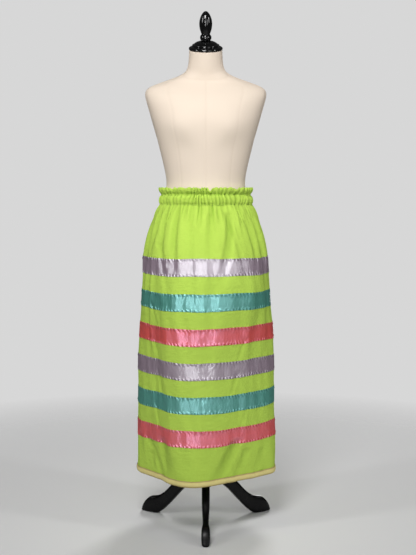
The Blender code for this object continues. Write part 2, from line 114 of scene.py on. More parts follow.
world = bpy.data.worlds.new("studio")
world.use_nodes = True
bpy.context.scene.world = world
backdrop = world.node_tree.nodes["Background"]
backdrop.inputs["Color"].default_value = (1, 1, 1, 1)
rays = world.node_tree.nodes.new("ShaderNodeLightPath")
paleness = world.node_tree.nodes.new("ShaderNodeMapRange")
paleness.inputs["To Min"].default_value = WORLD_LIGHT
paleness.inputs["To Max"].default_value = WORLD_SEEN
world.node_tree.links.new(rays.outputs["Is Camera Ray"], paleness.inputs["Value"])
world.node_tree.links.new(paleness.outputs["Result"], backdrop.inputs["Strength"])
bpy.context.scene.view_settings.view_transform = "Standard"
print("lamps:", [lamp.name for lamp in LAMPS])

# %% [markdown]
# Building a finish from nodes
#
# Every finish is a Principled shader with a few nodes in front of it. Helpers keep the cells short:
# one starts a material and sets the sockets that are the same all over, one adds a node, sets its
# values and joins its inputs, and the others use it for a noise, a ramp, a blend, a bump or threads.

# %% Helpers for materials
def start_finish(name, roughness, **constants):
    """A new material and its Principled shader, with constant sockets set on the shader itself."""
    finish = bpy.data.materials.new(name)
    finish.use_nodes = True
    shader = finish.node_tree.nodes["Principled BSDF"]
    shader.inputs["Roughness"].default_value = roughness
    for socket, value in constants.items():
        shader.inputs[socket.replace("_", " ")].default_value = value
    return finish, shader


def add_node(finish, kind, values=None, **settings):
    """A node of this kind; values maps input sockets to numbers or to the outputs that feed them."""
    node = finish.node_tree.nodes.new(kind)
    for setting, value in settings.items():
        setattr(node, setting, value)
    for socket, value in (values or {}).items():
        if isinstance(value, bpy.types.NodeSocket):
            finish.node_tree.links.new(value, node.inputs[socket])
        else:
            node.inputs[socket].default_value = value
    return node


def feed(finish, source, shader, socket):
    finish.node_tree.links.new(source, shader.inputs[socket])


def stretched(finish, coordinates, scale):
    """The coordinates scaled by a different amount each way, so that a pattern runs long or short."""
    return add_node(finish, "ShaderNodeMapping", {"Vector": coordinates, "Scale": scale}).outputs["Vector"]


def noise(finish, coordinates, scale, detail=2.0, roughness=0.5):
    values = {"Vector": coordinates, "Scale": scale, "Detail": detail, "Roughness": roughness}
    return add_node(finish, "ShaderNodeTexNoise", values).outputs["Fac"]


def ramp(finish, factor, stops):
    """A colour ramp; stops are (position, grey or RGB) pairs."""
    node = add_node(finish, "ShaderNodeValToRGB", {"Fac": factor})
    elements = node.color_ramp.elements
    while len(elements) < len(stops):
        elements.new(0.5)
    for element, (position, colour) in zip(elements, stops):
        element.position = position
        element.color = (*colour, 1) if hasattr(colour, "__len__") else (colour, colour, colour, 1)
    return node.outputs["Color"]


def blended(finish, factor, first, second, how="MIX"):
    node = add_node(finish, "ShaderNodeMix", data_type="RGBA", blend_type=how)
    for index, value in ((0, factor), (6, first), (7, second)):
        if isinstance(value, bpy.types.NodeSocket):
            finish.node_tree.links.new(value, node.inputs[index])
        elif index == 0:
            node.inputs[index].default_value = value
        else:
            node.inputs[index].default_value = (*value, 1)
    return node.outputs[2]


def raised(finish, height, distance, strength=1.0, over=None):
    """A bump of this height in metres, laid over an earlier bump where one is given."""
    values = {"Height": height, "Distance": distance, "Strength": strength}
    if over is not None:
        values["Normal"] = over
    return add_node(finish, "ShaderNodeBump", values).outputs["Normal"]


def threads(finish, coordinates, spacing, direction):
    """Even threads this far apart, as a wave across X or Y of the cloth's own map in metres."""
    values = {"Vector": coordinates, "Scale": math.pi / 10 / spacing, "Distortion": 0.0}
    return add_node(finish, "ShaderNodeTexWave", values, bands_direction=direction).outputs["Fac"]


print("helpers are ready")

# %% [markdown]
# Plain cotton
#
# The skirt's body is a plain-weave cotton in a bright lime. Cotton is matte: nearly all of its light
# is diffuse, with a faint velvety edge that Blender calls sheen. Two crossed sets of threads make
# the weave, two stretched noises make the slubs that run along the yarns, and larger ones give the
# soft rumples that stay after washing. A map called fold, painted when the cloth is shaped, darkens
# the colour towards a shade colour in the troughs, along stitches and in seams: this is painted shade.

# %% Cotton and binding finishes
YARN_ALONG = (60, 420, 1)
YARN_UPRIGHT = (420, 60, 1)
SLUB_HEIGHT = 0.00030
WEAVE_HEIGHT = 0.00012
RUMPLE_SCALE = 38.0
CRINKLE_SCALE = (45, 120, 1)
CRINKLE_SHARE = 0.6


def woven_finish(name, light, dark, deep, thread, rumple, sheen=0.12):
    finish, shader = start_finish(
        name,
        0.88,
        Sheen_Weight=sheen,
        Sheen_Roughness=0.45,
        Sheen_Tint=(*light, 1),
        Specular_IOR_Level=0.15,
    )
    cloth_map = add_node(finish, "ShaderNodeTexCoord").outputs["UV"]
    along = noise(finish, stretched(finish, cloth_map, YARN_ALONG), 1.0, 3.0)
    upright = noise(finish, stretched(finish, cloth_map, YARN_UPRIGHT), 1.0, 3.0)
    slub = blended(finish, 0.5, along, upright)
    patch = noise(finish, cloth_map, 9.0, 3.0)
    tone = ramp(finish, blended(finish, 0.35, slub, patch), ((0.30, dark), (0.72, light)))
    # The fold map holds painted shade: the colour darkens towards the painted shade colour in troughs, along
    # stitches and in seams.
    fold = add_node(finish, "ShaderNodeAttribute", attribute_name="fold").outputs["Fac"]
    feed(finish, blended(finish, fold, tone, deep), shader, "Base Color")
    weft = threads(finish, cloth_map, thread, "X")
    warp = threads(finish, cloth_map, thread, "Y")
    weave = blended(finish, 0.5, weft, warp)
    normal = raised(finish, noise(finish, cloth_map, RUMPLE_SCALE), rumple)
    crinkle = noise(finish, stretched(finish, cloth_map, CRINKLE_SCALE), 1.0, 1.0)
    normal = raised(finish, crinkle, CRINKLE_SHARE * rumple, over=normal)
    normal = raised(finish, slub, SLUB_HEIGHT, over=normal)
    normal = raised(finish, weave, WEAVE_HEIGHT, over=normal)
    feed(finish, normal, shader, "Normal")
    return finish


# The third colour of each finish is painted shade, for troughs, stitches and seams.
lime_cotton = woven_finish(
    "lime_cotton",
    light=(0.50, 0.72, 0.102),
    dark=(0.44, 0.64, 0.086),
    deep=(0.30, 0.45, 0.055),
    thread=0.00055,
    rumple=0.0019,
)
straw_binding = woven_finish(
    "straw_binding",
    light=(0.84, 0.74, 0.31),
    dark=(0.74, 0.64, 0.25),
    deep=(0.34, 0.24, 0.09),
    thread=0.00045,
    rumple=0.0006,
)
form_linen = woven_finish(
    "form_linen",
    light=(0.77, 0.66, 0.55),
    dark=(0.73, 0.625, 0.515),
    deep=(0.52, 0.41, 0.31),
    thread=0.00060,
    rumple=0.0003,
    sheen=0.08,
)
print("woven finishes:", lime_cotton.name, straw_binding.name, form_linen.name)

# %% [markdown]
# Satin ribbon
#
# In satin the warp floats over many weft threads, so its face is a mat of smooth parallel fibres. It
# mirrors light in a long streak across them. The shader gets a middling roughness, a strong mirror
# of the lamps stretched along the map's own direction, and a fine ribbing of threads. Two slanting
# noises make the wrinkles that bend each streak, a finer one crumples it, and a wave makes the
# dimples that lean in from the sewn edges. One more noise lets the dye vary along the ribbon.

# %% Satin finishes
RIBBON_WIDTH = 0.0508
DIMPLE_PITCH = 0.0105
DIMPLE_LEAN = -0.5
DIMPLE_HEIGHT = 0.0022
DIMPLE_FADE = {"From Min": RIBBON_WIDTH / 2 - 0.009, "From Max": RIBBON_WIDTH / 2 - 0.002}
WRINKLES = ((0.5, (46, 15, 1)), (-0.6, (34, 13, 1)))
WRINKLE_HEIGHT = 0.0040
CRUMPLE_SCALE = (95, 50, 1)
CRUMPLE_HEIGHT = 0.0012
DYE_SCALE = (26, 60, 1)
SATIN_THREAD = 0.00040
SATIN_RIB = 0.00004


def slanted(finish, cloth_map, lean, scale):
    """The map turned by lean radians and then scaled."""
    values = {"Vector": cloth_map, "Rotation": (0, 0, lean), "Scale": scale}
    return add_node(finish, "ShaderNodeMapping", values).outputs["Vector"]


def calculated(finish, operation, *values):
    """One step of arithmetic on numbers or outputs."""
    return add_node(finish, "ShaderNodeMath", dict(enumerate(values)), operation=operation).outputs["Value"]


def edge_dimples(finish, cloth_map):
    """Short uneven dimples that lean in from both sewn edges of a ribbon."""
    up = add_node(finish, "ShaderNodeSeparateXYZ", {"Vector": cloth_map}).outputs["Y"]
    from_middle = calculated(finish, "ABSOLUTE", calculated(finish, "SUBTRACT", up, RIBBON_WIDTH / 2))
    values = {"Value": from_middle, **DIMPLE_FADE}
    near_edge = add_node(finish, "ShaderNodeMapRange", values, interpolation_type="SMOOTHSTEP")
    values = {
        "Vector": slanted(finish, cloth_map, DIMPLE_LEAN, (1, 0.5, 1)),
        "Scale": math.pi / 10 / DIMPLE_PITCH,
        "Distortion": 2.6,
        "Detail": 1.5,
        "Detail Scale": 1.4,
    }
    dimples = add_node(finish, "ShaderNodeTexWave", values, bands_direction="X").outputs["Fac"]
    return calculated(finish, "MULTIPLY", dimples, near_edge.outputs["Result"])


def satin_finish(name, light, dark, deep, gloss_tint):
    finish, shader = start_finish(
        name,
        0.40,
        IOR=2.2,
        Specular_IOR_Level=1.0,
        Specular_Tint=(*gloss_tint, 1),
        Anisotropic=0.65,
        Anisotropic_Rotation=0.25,
    )
    cloth_map = add_node(finish, "ShaderNodeTexCoord").outputs["UV"]
    dye = noise(finish, stretched(finish, cloth_map, DYE_SCALE), 1.0, 3.0)
    tone = ramp(finish, dye, ((0.30, dark), (0.70, light)))
    # The fold map holds painted shade: the colour darkens towards the painted shade colour in creases and
    # troughs.
    fold = add_node(finish, "ShaderNodeAttribute", attribute_name="fold").outputs["Fac"]
    feed(finish, blended(finish, fold, tone, deep), shader, "Base Color")
    wrinkles = [noise(finish, slanted(finish, cloth_map, lean, scale), 1.0) for lean, scale in WRINKLES]
    normal = raised(finish, blended(finish, 0.5, *wrinkles), WRINKLE_HEIGHT)
    crumple = noise(finish, stretched(finish, cloth_map, CRUMPLE_SCALE), 1.0)
    normal = raised(finish, crumple, CRUMPLE_HEIGHT, over=normal)
    normal = raised(finish, edge_dimples(finish, cloth_map), DIMPLE_HEIGHT, over=normal)
    normal = raised(finish, threads(finish, cloth_map, SATIN_THREAD, "Y"), SATIN_RIB, over=normal)
    feed(finish, normal, shader, "Normal")
    tangent = add_node(finish, "ShaderNodeTangent", direction_type="UV_MAP").outputs["Tangent"]
    feed(finish, tangent, shader, "Tangent")
    return finish


# Each satin has two dye tones, a painted shade colour for its creases and a tint for its gloss.
DyeAndShade = namedtuple("DyeAndShade", "light dark deep gloss_tint")
DYES_AND_SHADES = {
    "lilac": DyeAndShade((0.32, 0.24, 0.30), (0.27, 0.20, 0.25), (0.15, 0.11, 0.14), (0.95, 0.95, 1.0)),
    "teal": DyeAndShade((0.085, 0.32, 0.25), (0.068, 0.265, 0.205), (0.03, 0.13, 0.10), (0.5, 0.95, 1.0)),
    "coral": DyeAndShade((0.82, 0.105, 0.075), (0.72, 0.09, 0.065), (0.42, 0.05, 0.04), (0.95, 0.60, 0.90)),
}
SATINS = {colour: satin_finish(f"{colour}_satin", *dye) for colour, dye in DYES_AND_SHADES.items()}
print("satins:", list(SATINS))

# %% [markdown]
# Lacquer and paint
#
# The neck cap and its knob are turned wood under a deep gloss lacquer, which is a dark base below a
# clear coat. The legs and hub have the same black rubbed down to a satin, with faint wood grain and
# worn, slightly lighter patches. The pole is painted steel with a fine orange-peel surface. All of
# these read Object coordinates, so the grain runs through the piece as it does in wood.

# %% Lacquer, satin wood and paint
def black_finish(name, roughness, coat, mirror, grain, grain_height, tone):
    finish, shader = start_finish(
        name, roughness, Coat_Weight=coat, Coat_Roughness=0.06, Specular_IOR_Level=mirror
    )
    place = add_node(finish, "ShaderNodeTexCoord").outputs["Object"]
    fibres = noise(finish, stretched(finish, place, grain), 1.0, 5.0, 0.6)
    light = tuple(2.2 * part for part in tone)
    feed(finish, ramp(finish, fibres, ((0.35, tone), (0.75, light))), shader, "Base Color")
    worn = noise(finish, place, 14.0, 4.0)
    rough = ramp(finish, worn, ((0.35, roughness * 0.8), (0.70, min(1.0, roughness * 1.35))))
    feed(finish, rough, shader, "Roughness")
    feed(finish, raised(finish, fibres, grain_height), shader, "Normal")
    return finish


black_gloss = black_finish(
    "black_gloss",
    roughness=0.14,
    coat=0.5,
    mirror=0.32,
    grain=(40, 40, 160),
    grain_height=0.000004,
    tone=(0.0020, 0.0020, 0.0021),
)
black_wood = black_finish(
    "black_wood",
    roughness=0.30,
    coat=0.05,
    mirror=0.15,
    grain=(150, 40, 150),
    grain_height=0.00008,
    tone=(0.0016, 0.0016, 0.0017),
)
black_paint = black_finish(
    "black_paint",
    roughness=0.40,
    coat=0.0,
    mirror=0.30,
    grain=(900, 900, 900),
    grain_height=0.00003,
    tone=(0.0040, 0.0040, 0.0042),
)
print("blacks:", black_gloss.name, black_wood.name, black_paint.name)

# %% [markdown]
# The floor
#
# The floor is only there to catch a soft shadow, so it is a pale round disc that fades out to the
# even world around it. Its edge then never shows as a line behind the skirt, from any side.

# %% Lay the floor
FLOOR_RADIUS = 7.0
FLOOR_SOLID = 0.06
FLOOR_FADED = 0.30
FLOOR_GREY = 0.74

bpy.ops.object.select_all(action="DESELECT")
bpy.ops.mesh.primitive_circle_add(vertices=96, radius=FLOOR_RADIUS, fill_type="NGON", location=(0, 0, 0))
floor = bpy.context.active_object
floor.name = "studio_floor"
floor_finish, floor_shader = start_finish("pale_floor", 0.9, Specular_IOR_Level=0.1)
floor_place = add_node(floor_finish, "ShaderNodeTexCoord").outputs["Object"]
floor_shader.inputs["Base Color"].default_value = (FLOOR_GREY, FLOOR_GREY, FLOOR_GREY, 1)
distance = add_node(floor_finish, "ShaderNodeVectorMath", {0: floor_place}, operation="LENGTH")
reach_share = calculated(floor_finish, "DIVIDE", distance.outputs["Value"], FLOOR_RADIUS)
floor_fade = ramp(floor_finish, reach_share, ((FLOOR_SOLID, 1.0), (FLOOR_FADED, 0.0)))
feed(floor_finish, floor_fade, floor_shader, "Alpha")
floor.data.materials.append(floor_finish)
print("floor radius:", FLOOR_RADIUS)

# %% [markdown]
# The shape of hanging cloth
#
# Each layer of this skirt follows one surface. A bearing is the angle round the pole from the front,
# and the surface says how far the cloth reaches at each bearing and height. It starts as the
# pattern cutter's sections, oval at the waist and a rounded wedge at the hem, joined by smooth
# curves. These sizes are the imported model's own, so the cloth lies on its solids.

# %% Sizes of the skirt
RIBBON_SPACE = RIBBON_WIDTH
FIRST_RIBBON_TOP = 0.837
RIBBON_COLOURS = ("lilac", "teal", "coral", "lilac", "teal", "coral")
HEM_Z = 0.161
PANEL_BOTTOM_Z = HEM_Z + 0.0013
BAND_BOTTOM_Z = 0.992
PANEL_TOP_Z = BAND_BOTTOM_Z - 0.0003

Section = namedtuple("Section", "z side front back shift wedge")
SKIRT_SECTIONS = (
    Section(0.992, 0.1435, 0.1130, 0.1130, 0.0, 0.0),
    Section(0.978, 0.1525, 0.1210, 0.1210, 0.0, 0.0),
    Section(0.955, 0.1620, 0.1330, 0.1340, 0.001, 0.0),
    Section(0.920, 0.1740, 0.1510, 0.1500, 0.003, 0.0),
    Section(0.880, 0.1840, 0.1690, 0.1610, 0.005, 0.0),
    Section(0.837, 0.1910, 0.1840, 0.1680, 0.008, 0.0),
    Section(0.786, 0.1935, 0.1970, 0.1720, 0.011, 0.0),
    Section(0.735, 0.1970, 0.2060, 0.1730, 0.014, 0.03),
    Section(0.680, 0.1985, 0.2110, 0.1730, 0.017, 0.15),
    Section(0.600, 0.2015, 0.2130, 0.1720, 0.020, 0.42),
    Section(0.500, 0.2040, 0.2120, 0.1730, 0.020, 0.62),
    Section(0.380, 0.2080, 0.2120, 0.1750, 0.020, 0.72),
    Section(0.280, 0.2125, 0.2120, 0.1770, 0.020, 0.82),
    Section(HEM_Z, 0.2160, 0.2120, 0.1770, 0.018, 1.0),
)
HemCorner = namedtuple("HemCorner", "bearing reach")
HEM_PLAN = (
    HemCorner(-94, 0.2140), HemCorner(-82, 0.2050), HemCorner(-67, 0.1830), HemCorner(-50, 0.1775),
    HemCorner(-30, 0.1955), HemCorner(-11, 0.2025), HemCorner(7, 0.1810), HemCorner(22, 0.1635),
    HemCorner(40, 0.1580), HemCorner(54, 0.1690), HemCorner(68, 0.1875), HemCorner(80, 0.2110),
    HemCorner(91, 0.2155), HemCorner(108, 0.2000), HemCorner(131, 0.1850), HemCorner(155, 0.1920),
    HemCorner(180, 0.1780), HemCorner(205, 0.1910), HemCorner(231, 0.1800), HemCorner(250, 0.2000),
)
print("skirt length:", round(BAND_BOTTOM_Z - HEM_Z, 3))


# %% Smooth curves through a table
def smooth_step(share):
    share = np.clip(share, 0, 1)
    return share * share * (3 - 2 * share)


def bump(distance, half_width):
    """1 in the middle, falling smoothly to 0 at half_width away."""
    return smooth_step(1 - np.abs(distance) / half_width)


def turn_between(bearing, other):
    """The signed angle from other to bearing, from -180 to 180 degrees."""
    return (bearing - other + 180) % 360 - 180


def smooth_curve(at, knots, values):
    """A curve through the values at the knots, whose slope at each knot is that of its neighbours' chord."""
    knots, values = np.asarray(knots, float), np.asarray(values, float)
    before = np.r_[0, np.arange(len(knots) - 1)]
    after = np.r_[np.arange(1, len(knots)), len(knots) - 1]
    slopes = (values[after] - values[before]) / (knots[after] - knots[before])
    at = np.clip(at, knots[0], knots[-1])
    low = np.clip(np.searchsorted(knots, at, side="right") - 1, 0, len(knots) - 2)
    span = knots[low + 1] - knots[low]
    t = (at - knots[low]) / span
    return (
        (2 * t**3 - 3 * t**2 + 1) * values[low]
        + (t**3 - 2 * t**2 + t) * span * slopes[low]
        + (3 * t**2 - 2 * t**3) * values[low + 1]
        + (t**3 - t**2) * span * slopes[low + 1]
    )


def sections_at(rows, z):
    """Every column of a table of sections, but its heights, at the heights z."""
    table = np.array(sorted(rows))
    return [smooth_curve(z, table[:, 0], column) for column in table.T[1:]]


def oval_reach(bearing, side, front, back, n=2.0):
    """How far an oval section reaches at a bearing; n over 2 makes it squarer."""
    across = np.abs(np.sin(np.radians(bearing))) / side
    ahead = np.cos(np.radians(bearing))
    along = np.abs(ahead) / np.where(ahead > 0, front, back)
    return (across**n + along**n) ** (-1 / n)


def hem_reach(bearing):
    """The hem's reach, on a smooth closed curve through the hem's plan."""
    turns = [(corner.bearing + turn, corner.reach) for turn in (-360, 0, 360) for corner in HEM_PLAN]
    knots, values = zip(*sorted(turns))
    return smooth_curve(bearing, knots, values)


print("hem reach at the front:", round(float(hem_reach(np.array([0.0]))[0]), 4))

# %% [markdown]
# Folds
#
# Gathered cloth falls in folds that start under the waist and die out at different heights. The
# large ones are in the model already, and the first table repeats them, two a little shallower. The
# second places smaller creases beside them. A row gives a bearing at the top and at the
# foot, the height where the fold starts and ends, half its width in degrees, and its depth, where a
# minus is a trough and a plus a ridge. The hidden sides get similar ones.

# %% Table of the large folds
Fold = namedtuple("Fold", "top_bearing foot_bearing top_z foot_z half_width depth")
LARGE_FOLDS = (
    Fold(-79, -76, 1.00, 0.60, 7.5, -0.0060),
    Fold(-67, -60, 1.00, 0.40, 7.0, -0.0065),
    Fold(-57, -46, 1.00, 0.80, 6.5, -0.0055),
    Fold(-40, -31, 1.00, 0.80, 6.5, -0.0050),
    Fold(-27, -19, 1.00, 0.16, 8.0, 0.0040),
    Fold(-14, -12, 1.00, 0.82, 6.0, -0.0040),
    Fold(8, 3, 1.00, 0.55, 7.0, -0.0050),
    Fold(34, 18, 0.99, 0.80, 6.5, -0.0050),
    Fold(36, 37, 0.98, 0.80, 5.5, -0.0036),
    Fold(42, 42, 0.80, 0.18, 8.0, 0.0035),
    Fold(50, 57, 1.00, 0.80, 6.5, -0.0055),
    Fold(66, 71, 1.00, 0.55, 7.0, -0.0060),
    Fold(80, 85, 1.00, 0.65, 6.5, -0.0055),
    Fold(98, 101, 1.00, 0.45, 7.5, -0.0065),
    Fold(112, 118, 1.00, 0.74, 7.0, -0.0055),
    Fold(128, 132, 1.00, 0.22, 8.5, -0.0070),
    Fold(146, 144, 1.00, 0.78, 7.0, -0.0055),
    Fold(161, 166, 1.00, 0.62, 7.5, -0.0060),
    Fold(178, 181, 1.00, 0.20, 9.0, -0.0075),
    Fold(196, 192, 1.00, 0.80, 7.0, -0.0050),
    Fold(212, 218, 1.00, 0.52, 8.0, -0.0065),
    Fold(231, 234, 1.00, 0.24, 8.5, -0.0070),
    Fold(249, 246, 1.00, 0.76, 7.0, -0.0055),
    Fold(265, 262, 1.00, 0.58, 7.5, -0.0060),
)

# %% Table of the smaller creases
CREASES = (
    Fold(-86, -62, 0.970, 0.740, 2.8, -0.0030),
    Fold(-77, -66, 0.975, 0.620, 2.6, -0.0026),
    Fold(-69, -40, 0.975, 0.800, 1.9, -0.0020),
    Fold(-55, -30, 0.885, 0.800, 1.8, -0.0018),
    Fold(-70, -59, 0.990, 0.840, 2.4, -0.0048),
    Fold(-60, -28, 0.990, 0.680, 2.2, -0.0040),
    Fold(-50, -54, 0.840, 0.230, 3.0, -0.0032),
    Fold(-44, -46, 0.850, 0.200, 2.2, -0.0020),
    Fold(-42, -20, 0.995, 0.720, 2.4, -0.0040),
    Fold(-29, -23, 0.995, 0.900, 1.8, -0.0022),
    Fold(-20, -18, 1.000, 0.905, 1.7, -0.0052),
    Fold(-32, -30, 0.800, -0.200, 6.0, 0.0040),
    Fold(-17, -8, 0.960, 0.660, 2.0, -0.0026),
    Fold(-9, -9, 1.000, 0.920, 1.5, -0.0040),
    Fold(-4, -11, 0.995, 0.890, 1.9, -0.0030),
    Fold(-2, 2, 0.620, 0.240, 4.0, -0.0018),
    Fold(5, 0, 0.975, 0.790, 2.4, -0.0038),
    Fold(4, 2, 0.800, 0.420, 3.2, -0.0022),
    Fold(10, 8, 1.000, 0.905, 1.6, -0.0044),
    Fold(16, 10, 0.980, 0.880, 2.0, -0.0022),
    Fold(19, 17, 1.000, 0.915, 1.8, -0.0046),
    Fold(25, 24, 1.000, 0.920, 1.5, -0.0040),
    Fold(33, 6, 0.975, 0.700, 3.0, -0.0060),
    Fold(27, 38, 0.985, 0.770, 1.8, -0.0040),
    Fold(36, 45, 0.780, 0.100, 3.0, 0.0012),
    Fold(48, 41, 0.995, 0.880, 1.6, -0.0036),
    Fold(57, 49, 0.985, 0.740, 2.2, -0.0040),
    Fold(60, 58, 0.995, 0.840, 1.7, -0.0020),
    Fold(52, 60, 0.700, 0.300, 3.0, -0.0022),
    Fold(70, 60, 0.975, 0.780, 2.4, -0.0026),
    Fold(86, 70, 0.965, 0.640, 2.8, -0.0030),
    Fold(76, 80, 0.560, 0.200, 3.2, -0.0024),
    Fold(-55, -46, 0.710, 0.600, 1.5, -0.0024),
    Fold(-57, -45, 0.605, 0.500, 1.4, -0.0026),
    Fold(-51, -41, 0.505, 0.395, 1.6, -0.0026),
    Fold(-56, -44, 0.405, 0.290, 1.5, -0.0024),
    Fold(40, 28, 0.605, 0.500, 1.6, -0.0020),
    Fold(33, 22, 0.505, 0.400, 1.8, -0.0022),
    Fold(46, 35, 0.400, 0.290, 1.7, -0.0020),
    Fold(-44, -28, 0.300, 0.120, 4.6, -0.0080),
    Fold(-69, -36, 0.290, 0.130, 3.6, -0.0046),
    Fold(-65, -58, 0.245, 0.165, 2.2, -0.0028),
    Fold(-81, -77, 0.300, 0.180, 2.4, -0.0026),
    Fold(36, 2, 0.300, 0.130, 5.0, -0.0085),
    Fold(49, 31, 0.265, 0.150, 3.6, -0.0040),
    Fold(67, 60, 0.255, 0.165, 2.8, -0.0030),
    Fold(150, 139, 0.300, 0.130, 4.6, -0.0070),
    Fold(207, 222, 0.300, 0.125, 4.8, -0.0074),
    Fold(172, 180, 0.270, 0.140, 3.6, -0.0040),
    Fold(112, 104, 0.280, 0.150, 3.4, -0.0040),
    Fold(246, 255, 0.285, 0.150, 3.4, -0.0042),
    Fold(121, 129, 0.705, 0.590, 1.6, -0.0024),
    Fold(150, 158, 0.600, 0.490, 1.6, -0.0022),
    Fold(221, 211, 0.605, 0.495, 1.7, -0.0024),
    Fold(236, 226, 0.500, 0.390, 1.5, -0.0024),
    Fold(168, 175, 0.400, 0.300, 1.6, -0.0020),
    Fold(92, 90, 0.960, 0.780, 2.8, -0.0026),
    Fold(104, 112, 0.985, 0.700, 2.4, -0.0050),
    Fold(109, 106, 0.620, 0.200, 3.2, -0.0024),
    Fold(119, 124, 0.990, 0.860, 2.6, -0.0028),
    Fold(124, 130, 0.985, 0.580, 2.6, -0.0048),
    Fold(137, 133, 0.990, 0.790, 2.2, -0.0044),
    Fold(141, 149, 0.700, 0.220, 3.2, -0.0022),
    Fold(152, 150, 0.985, 0.860, 2.4, -0.0026),
    Fold(155, 165, 0.990, 0.690, 2.6, -0.0056),
    Fold(167, 172, 0.985, 0.840, 2.0, -0.0040),
    Fold(174, 178, 0.985, 0.420, 3.0, -0.0030),
    Fold(186, 191, 0.990, 0.830, 2.0, -0.0042),
    Fold(189, 184, 0.520, 0.170, 3.4, 0.0018),
    Fold(205, 196, 0.990, 0.700, 2.8, -0.0058),
    Fold(208, 214, 0.985, 0.860, 2.4, -0.0026),
    Fold(217, 224, 0.980, 0.620, 2.6, -0.0046),
    Fold(226, 229, 0.985, 0.820, 2.6, -0.0030),
    Fold(228, 236, 0.560, 0.180, 3.2, -0.0024),
    Fold(242, 237, 0.985, 0.760, 2.4, -0.0048),
    Fold(256, 249, 0.985, 0.690, 2.6, -0.0044),
    Fold(258, 256, 0.600, 0.190, 3.0, 0.0016),
    Fold(261, 268, 0.980, 0.860, 2.6, -0.0028),
)
print("folds:", len(LARGE_FOLDS), "creases:", len(CREASES))


# %% Add the folds up
def fold_depth(bearing, z, folds, profile):
    """What these folds add to the cloth's reach; profile(distance, half_width) is a fold's section."""
    total = np.zeros(np.broadcast(bearing, z).shape)
    for fold in folds:
        down = (fold.top_z - z) / (fold.top_z - fold.foot_z)
        middle = fold.top_bearing + (fold.foot_bearing - fold.top_bearing) * down
        fade = smooth_step(down / 0.12) * smooth_step((1 - down) / 0.6)
        total += fold.depth * fade * profile(turn_between(bearing, middle), fold.half_width)
    return total


def crisp(distance, half_width):
    """A sharper section than bump: a rounded core with wide easy shoulders."""
    reach = 1.9 * half_width
    rounded = np.sqrt(distance**2 + (0.25 * reach) ** 2) - 0.25 * reach
    return smooth_step(1 - rounded / reach) ** 1.2


# %% [markdown]
# Gathers, puckers and seams
#
# Three small things make cloth look sewn. The elastic throws 64 uneven gathers into the waist, which
# run a few centimetres down the skirt before they fade. Each row of stitches draws the cloth in, so
# small puckers stand on both sides of it. And at the side seams the two panels dip in to meet.

# %% Gathers under the elastic
GATHERS = 64
GATHER_TURN = 360 / GATHERS
GATHER_DEPTH = 0.0056


def gather_place(bearing):
    """Which gather a bearing falls in, and the share of the way across it; their widths wander a little."""
    turn = np.radians(bearing)
    wandering = bearing + 0.7 * np.sin(5 * turn + 0.4) + 0.5 * np.sin(11 * turn + 1.9) + 90
    number = np.floor(wandering / GATHER_TURN)
    return number % GATHERS, wandering / GATHER_TURN - number


def gather_crest(bearing):
    """1 on a gather's rounded crest and 0 in the trough between two."""
    number, share = gather_place(bearing)
    height = 0.78 + 0.22 * np.sin(2.4 * number)
    return height * np.sin(math.pi * share) ** 0.75


def gather_fall(bearing, z):
    """The gathers below the waistband: each has its own strength and runs down its own way."""
    number, _ = gather_place(bearing)
    length = 0.035 + 0.075 * (0.5 + 0.5 * np.sin(3.7 * number + 1.0)) ** 2
    strength = 0.80 + 0.35 * np.sin(1.9 * number + 0.6)
    fade = smooth_step(1 - (PANEL_TOP_Z - z) / length)
    return -GATHER_DEPTH * strength * (1 - gather_crest(bearing)) * fade


# %% Puckers beside a row of stitches
PUCKERS_ROUND = 94
PUCKER_SLANT = 95


def pucker(bearing, distance, row, reach):
    """How far a pucker stands out, from 0 to 1, at a distance from stitch row number row."""
    turn = np.radians(bearing)
    wave = PUCKERS_ROUND * turn + 1.9 * np.sin(5 * turn + row) + 1.2 * np.sin(13 * turn + 2.3 * row)
    wave += 1.9 * row + PUCKER_SLANT * distance
    strength = 0.6 + 0.4 * np.sin(7 * turn + 2.1 * row)
    away = np.abs(distance) / reach
    return strength * (0.5 + 0.5 * np.cos(wave)) * smooth_step(away / 0.35) * smooth_step((1 - away) / 0.65)


def ribbon_top(index):
    return FIRST_RIBBON_TOP - index * (RIBBON_WIDTH + RIBBON_SPACE)


STITCH_INSET = 0.0022
SEWN_ROWS = []
for ribbon in range(len(RIBBON_COLOURS)):
    SEWN_ROWS.append(ribbon_top(ribbon) - STITCH_INSET)
    SEWN_ROWS.append(ribbon_top(ribbon) - RIBBON_WIDTH + STITCH_INSET)
BINDING_WIDTH = 0.0185
BINDING_STITCH_Z = HEM_Z + BINDING_WIDTH - 0.0020
SEWN_ROWS.append(BINDING_STITCH_Z)
print("rows of stitches on the skirt:", len(SEWN_ROWS))

# %% The skirt's face
SEAM_BEARINGS = (-90, 90, 270)
SEAM_DIP = 0.0016
SEAM_DIP_WIDTH = 1.1
COTTON_PUCKER = 0.0013
COTTON_PUCKER_REACH = 0.011
Ripple = namedtuple("Ripple", "height round up start")
SWAY_RIPPLES = (Ripple(0.0011, 3, 9, 0), Ripple(0.0007, 8, -13, 1))
DRIFT_RIPPLES = (Ripple(0.0007, 6, 21, 0), Ripple(0.0007, 15, -17, 2), Ripple(0.0005, 29, 31, 0))


def seam_dip(bearing):
    return -SEAM_DIP * sum(np.exp(-((bearing - seam) / SEAM_DIP_WIDTH) ** 2) for seam in SEAM_BEARINGS)


def rippled(bearing, z, ripples):
    """Slow waves that run round the skirt, each leaning as it goes up."""
    turn = np.radians(bearing)
    return sum(
        ripple.height * np.sin(ripple.round * turn + ripple.up * z + ripple.start) for ripple in ripples
    )


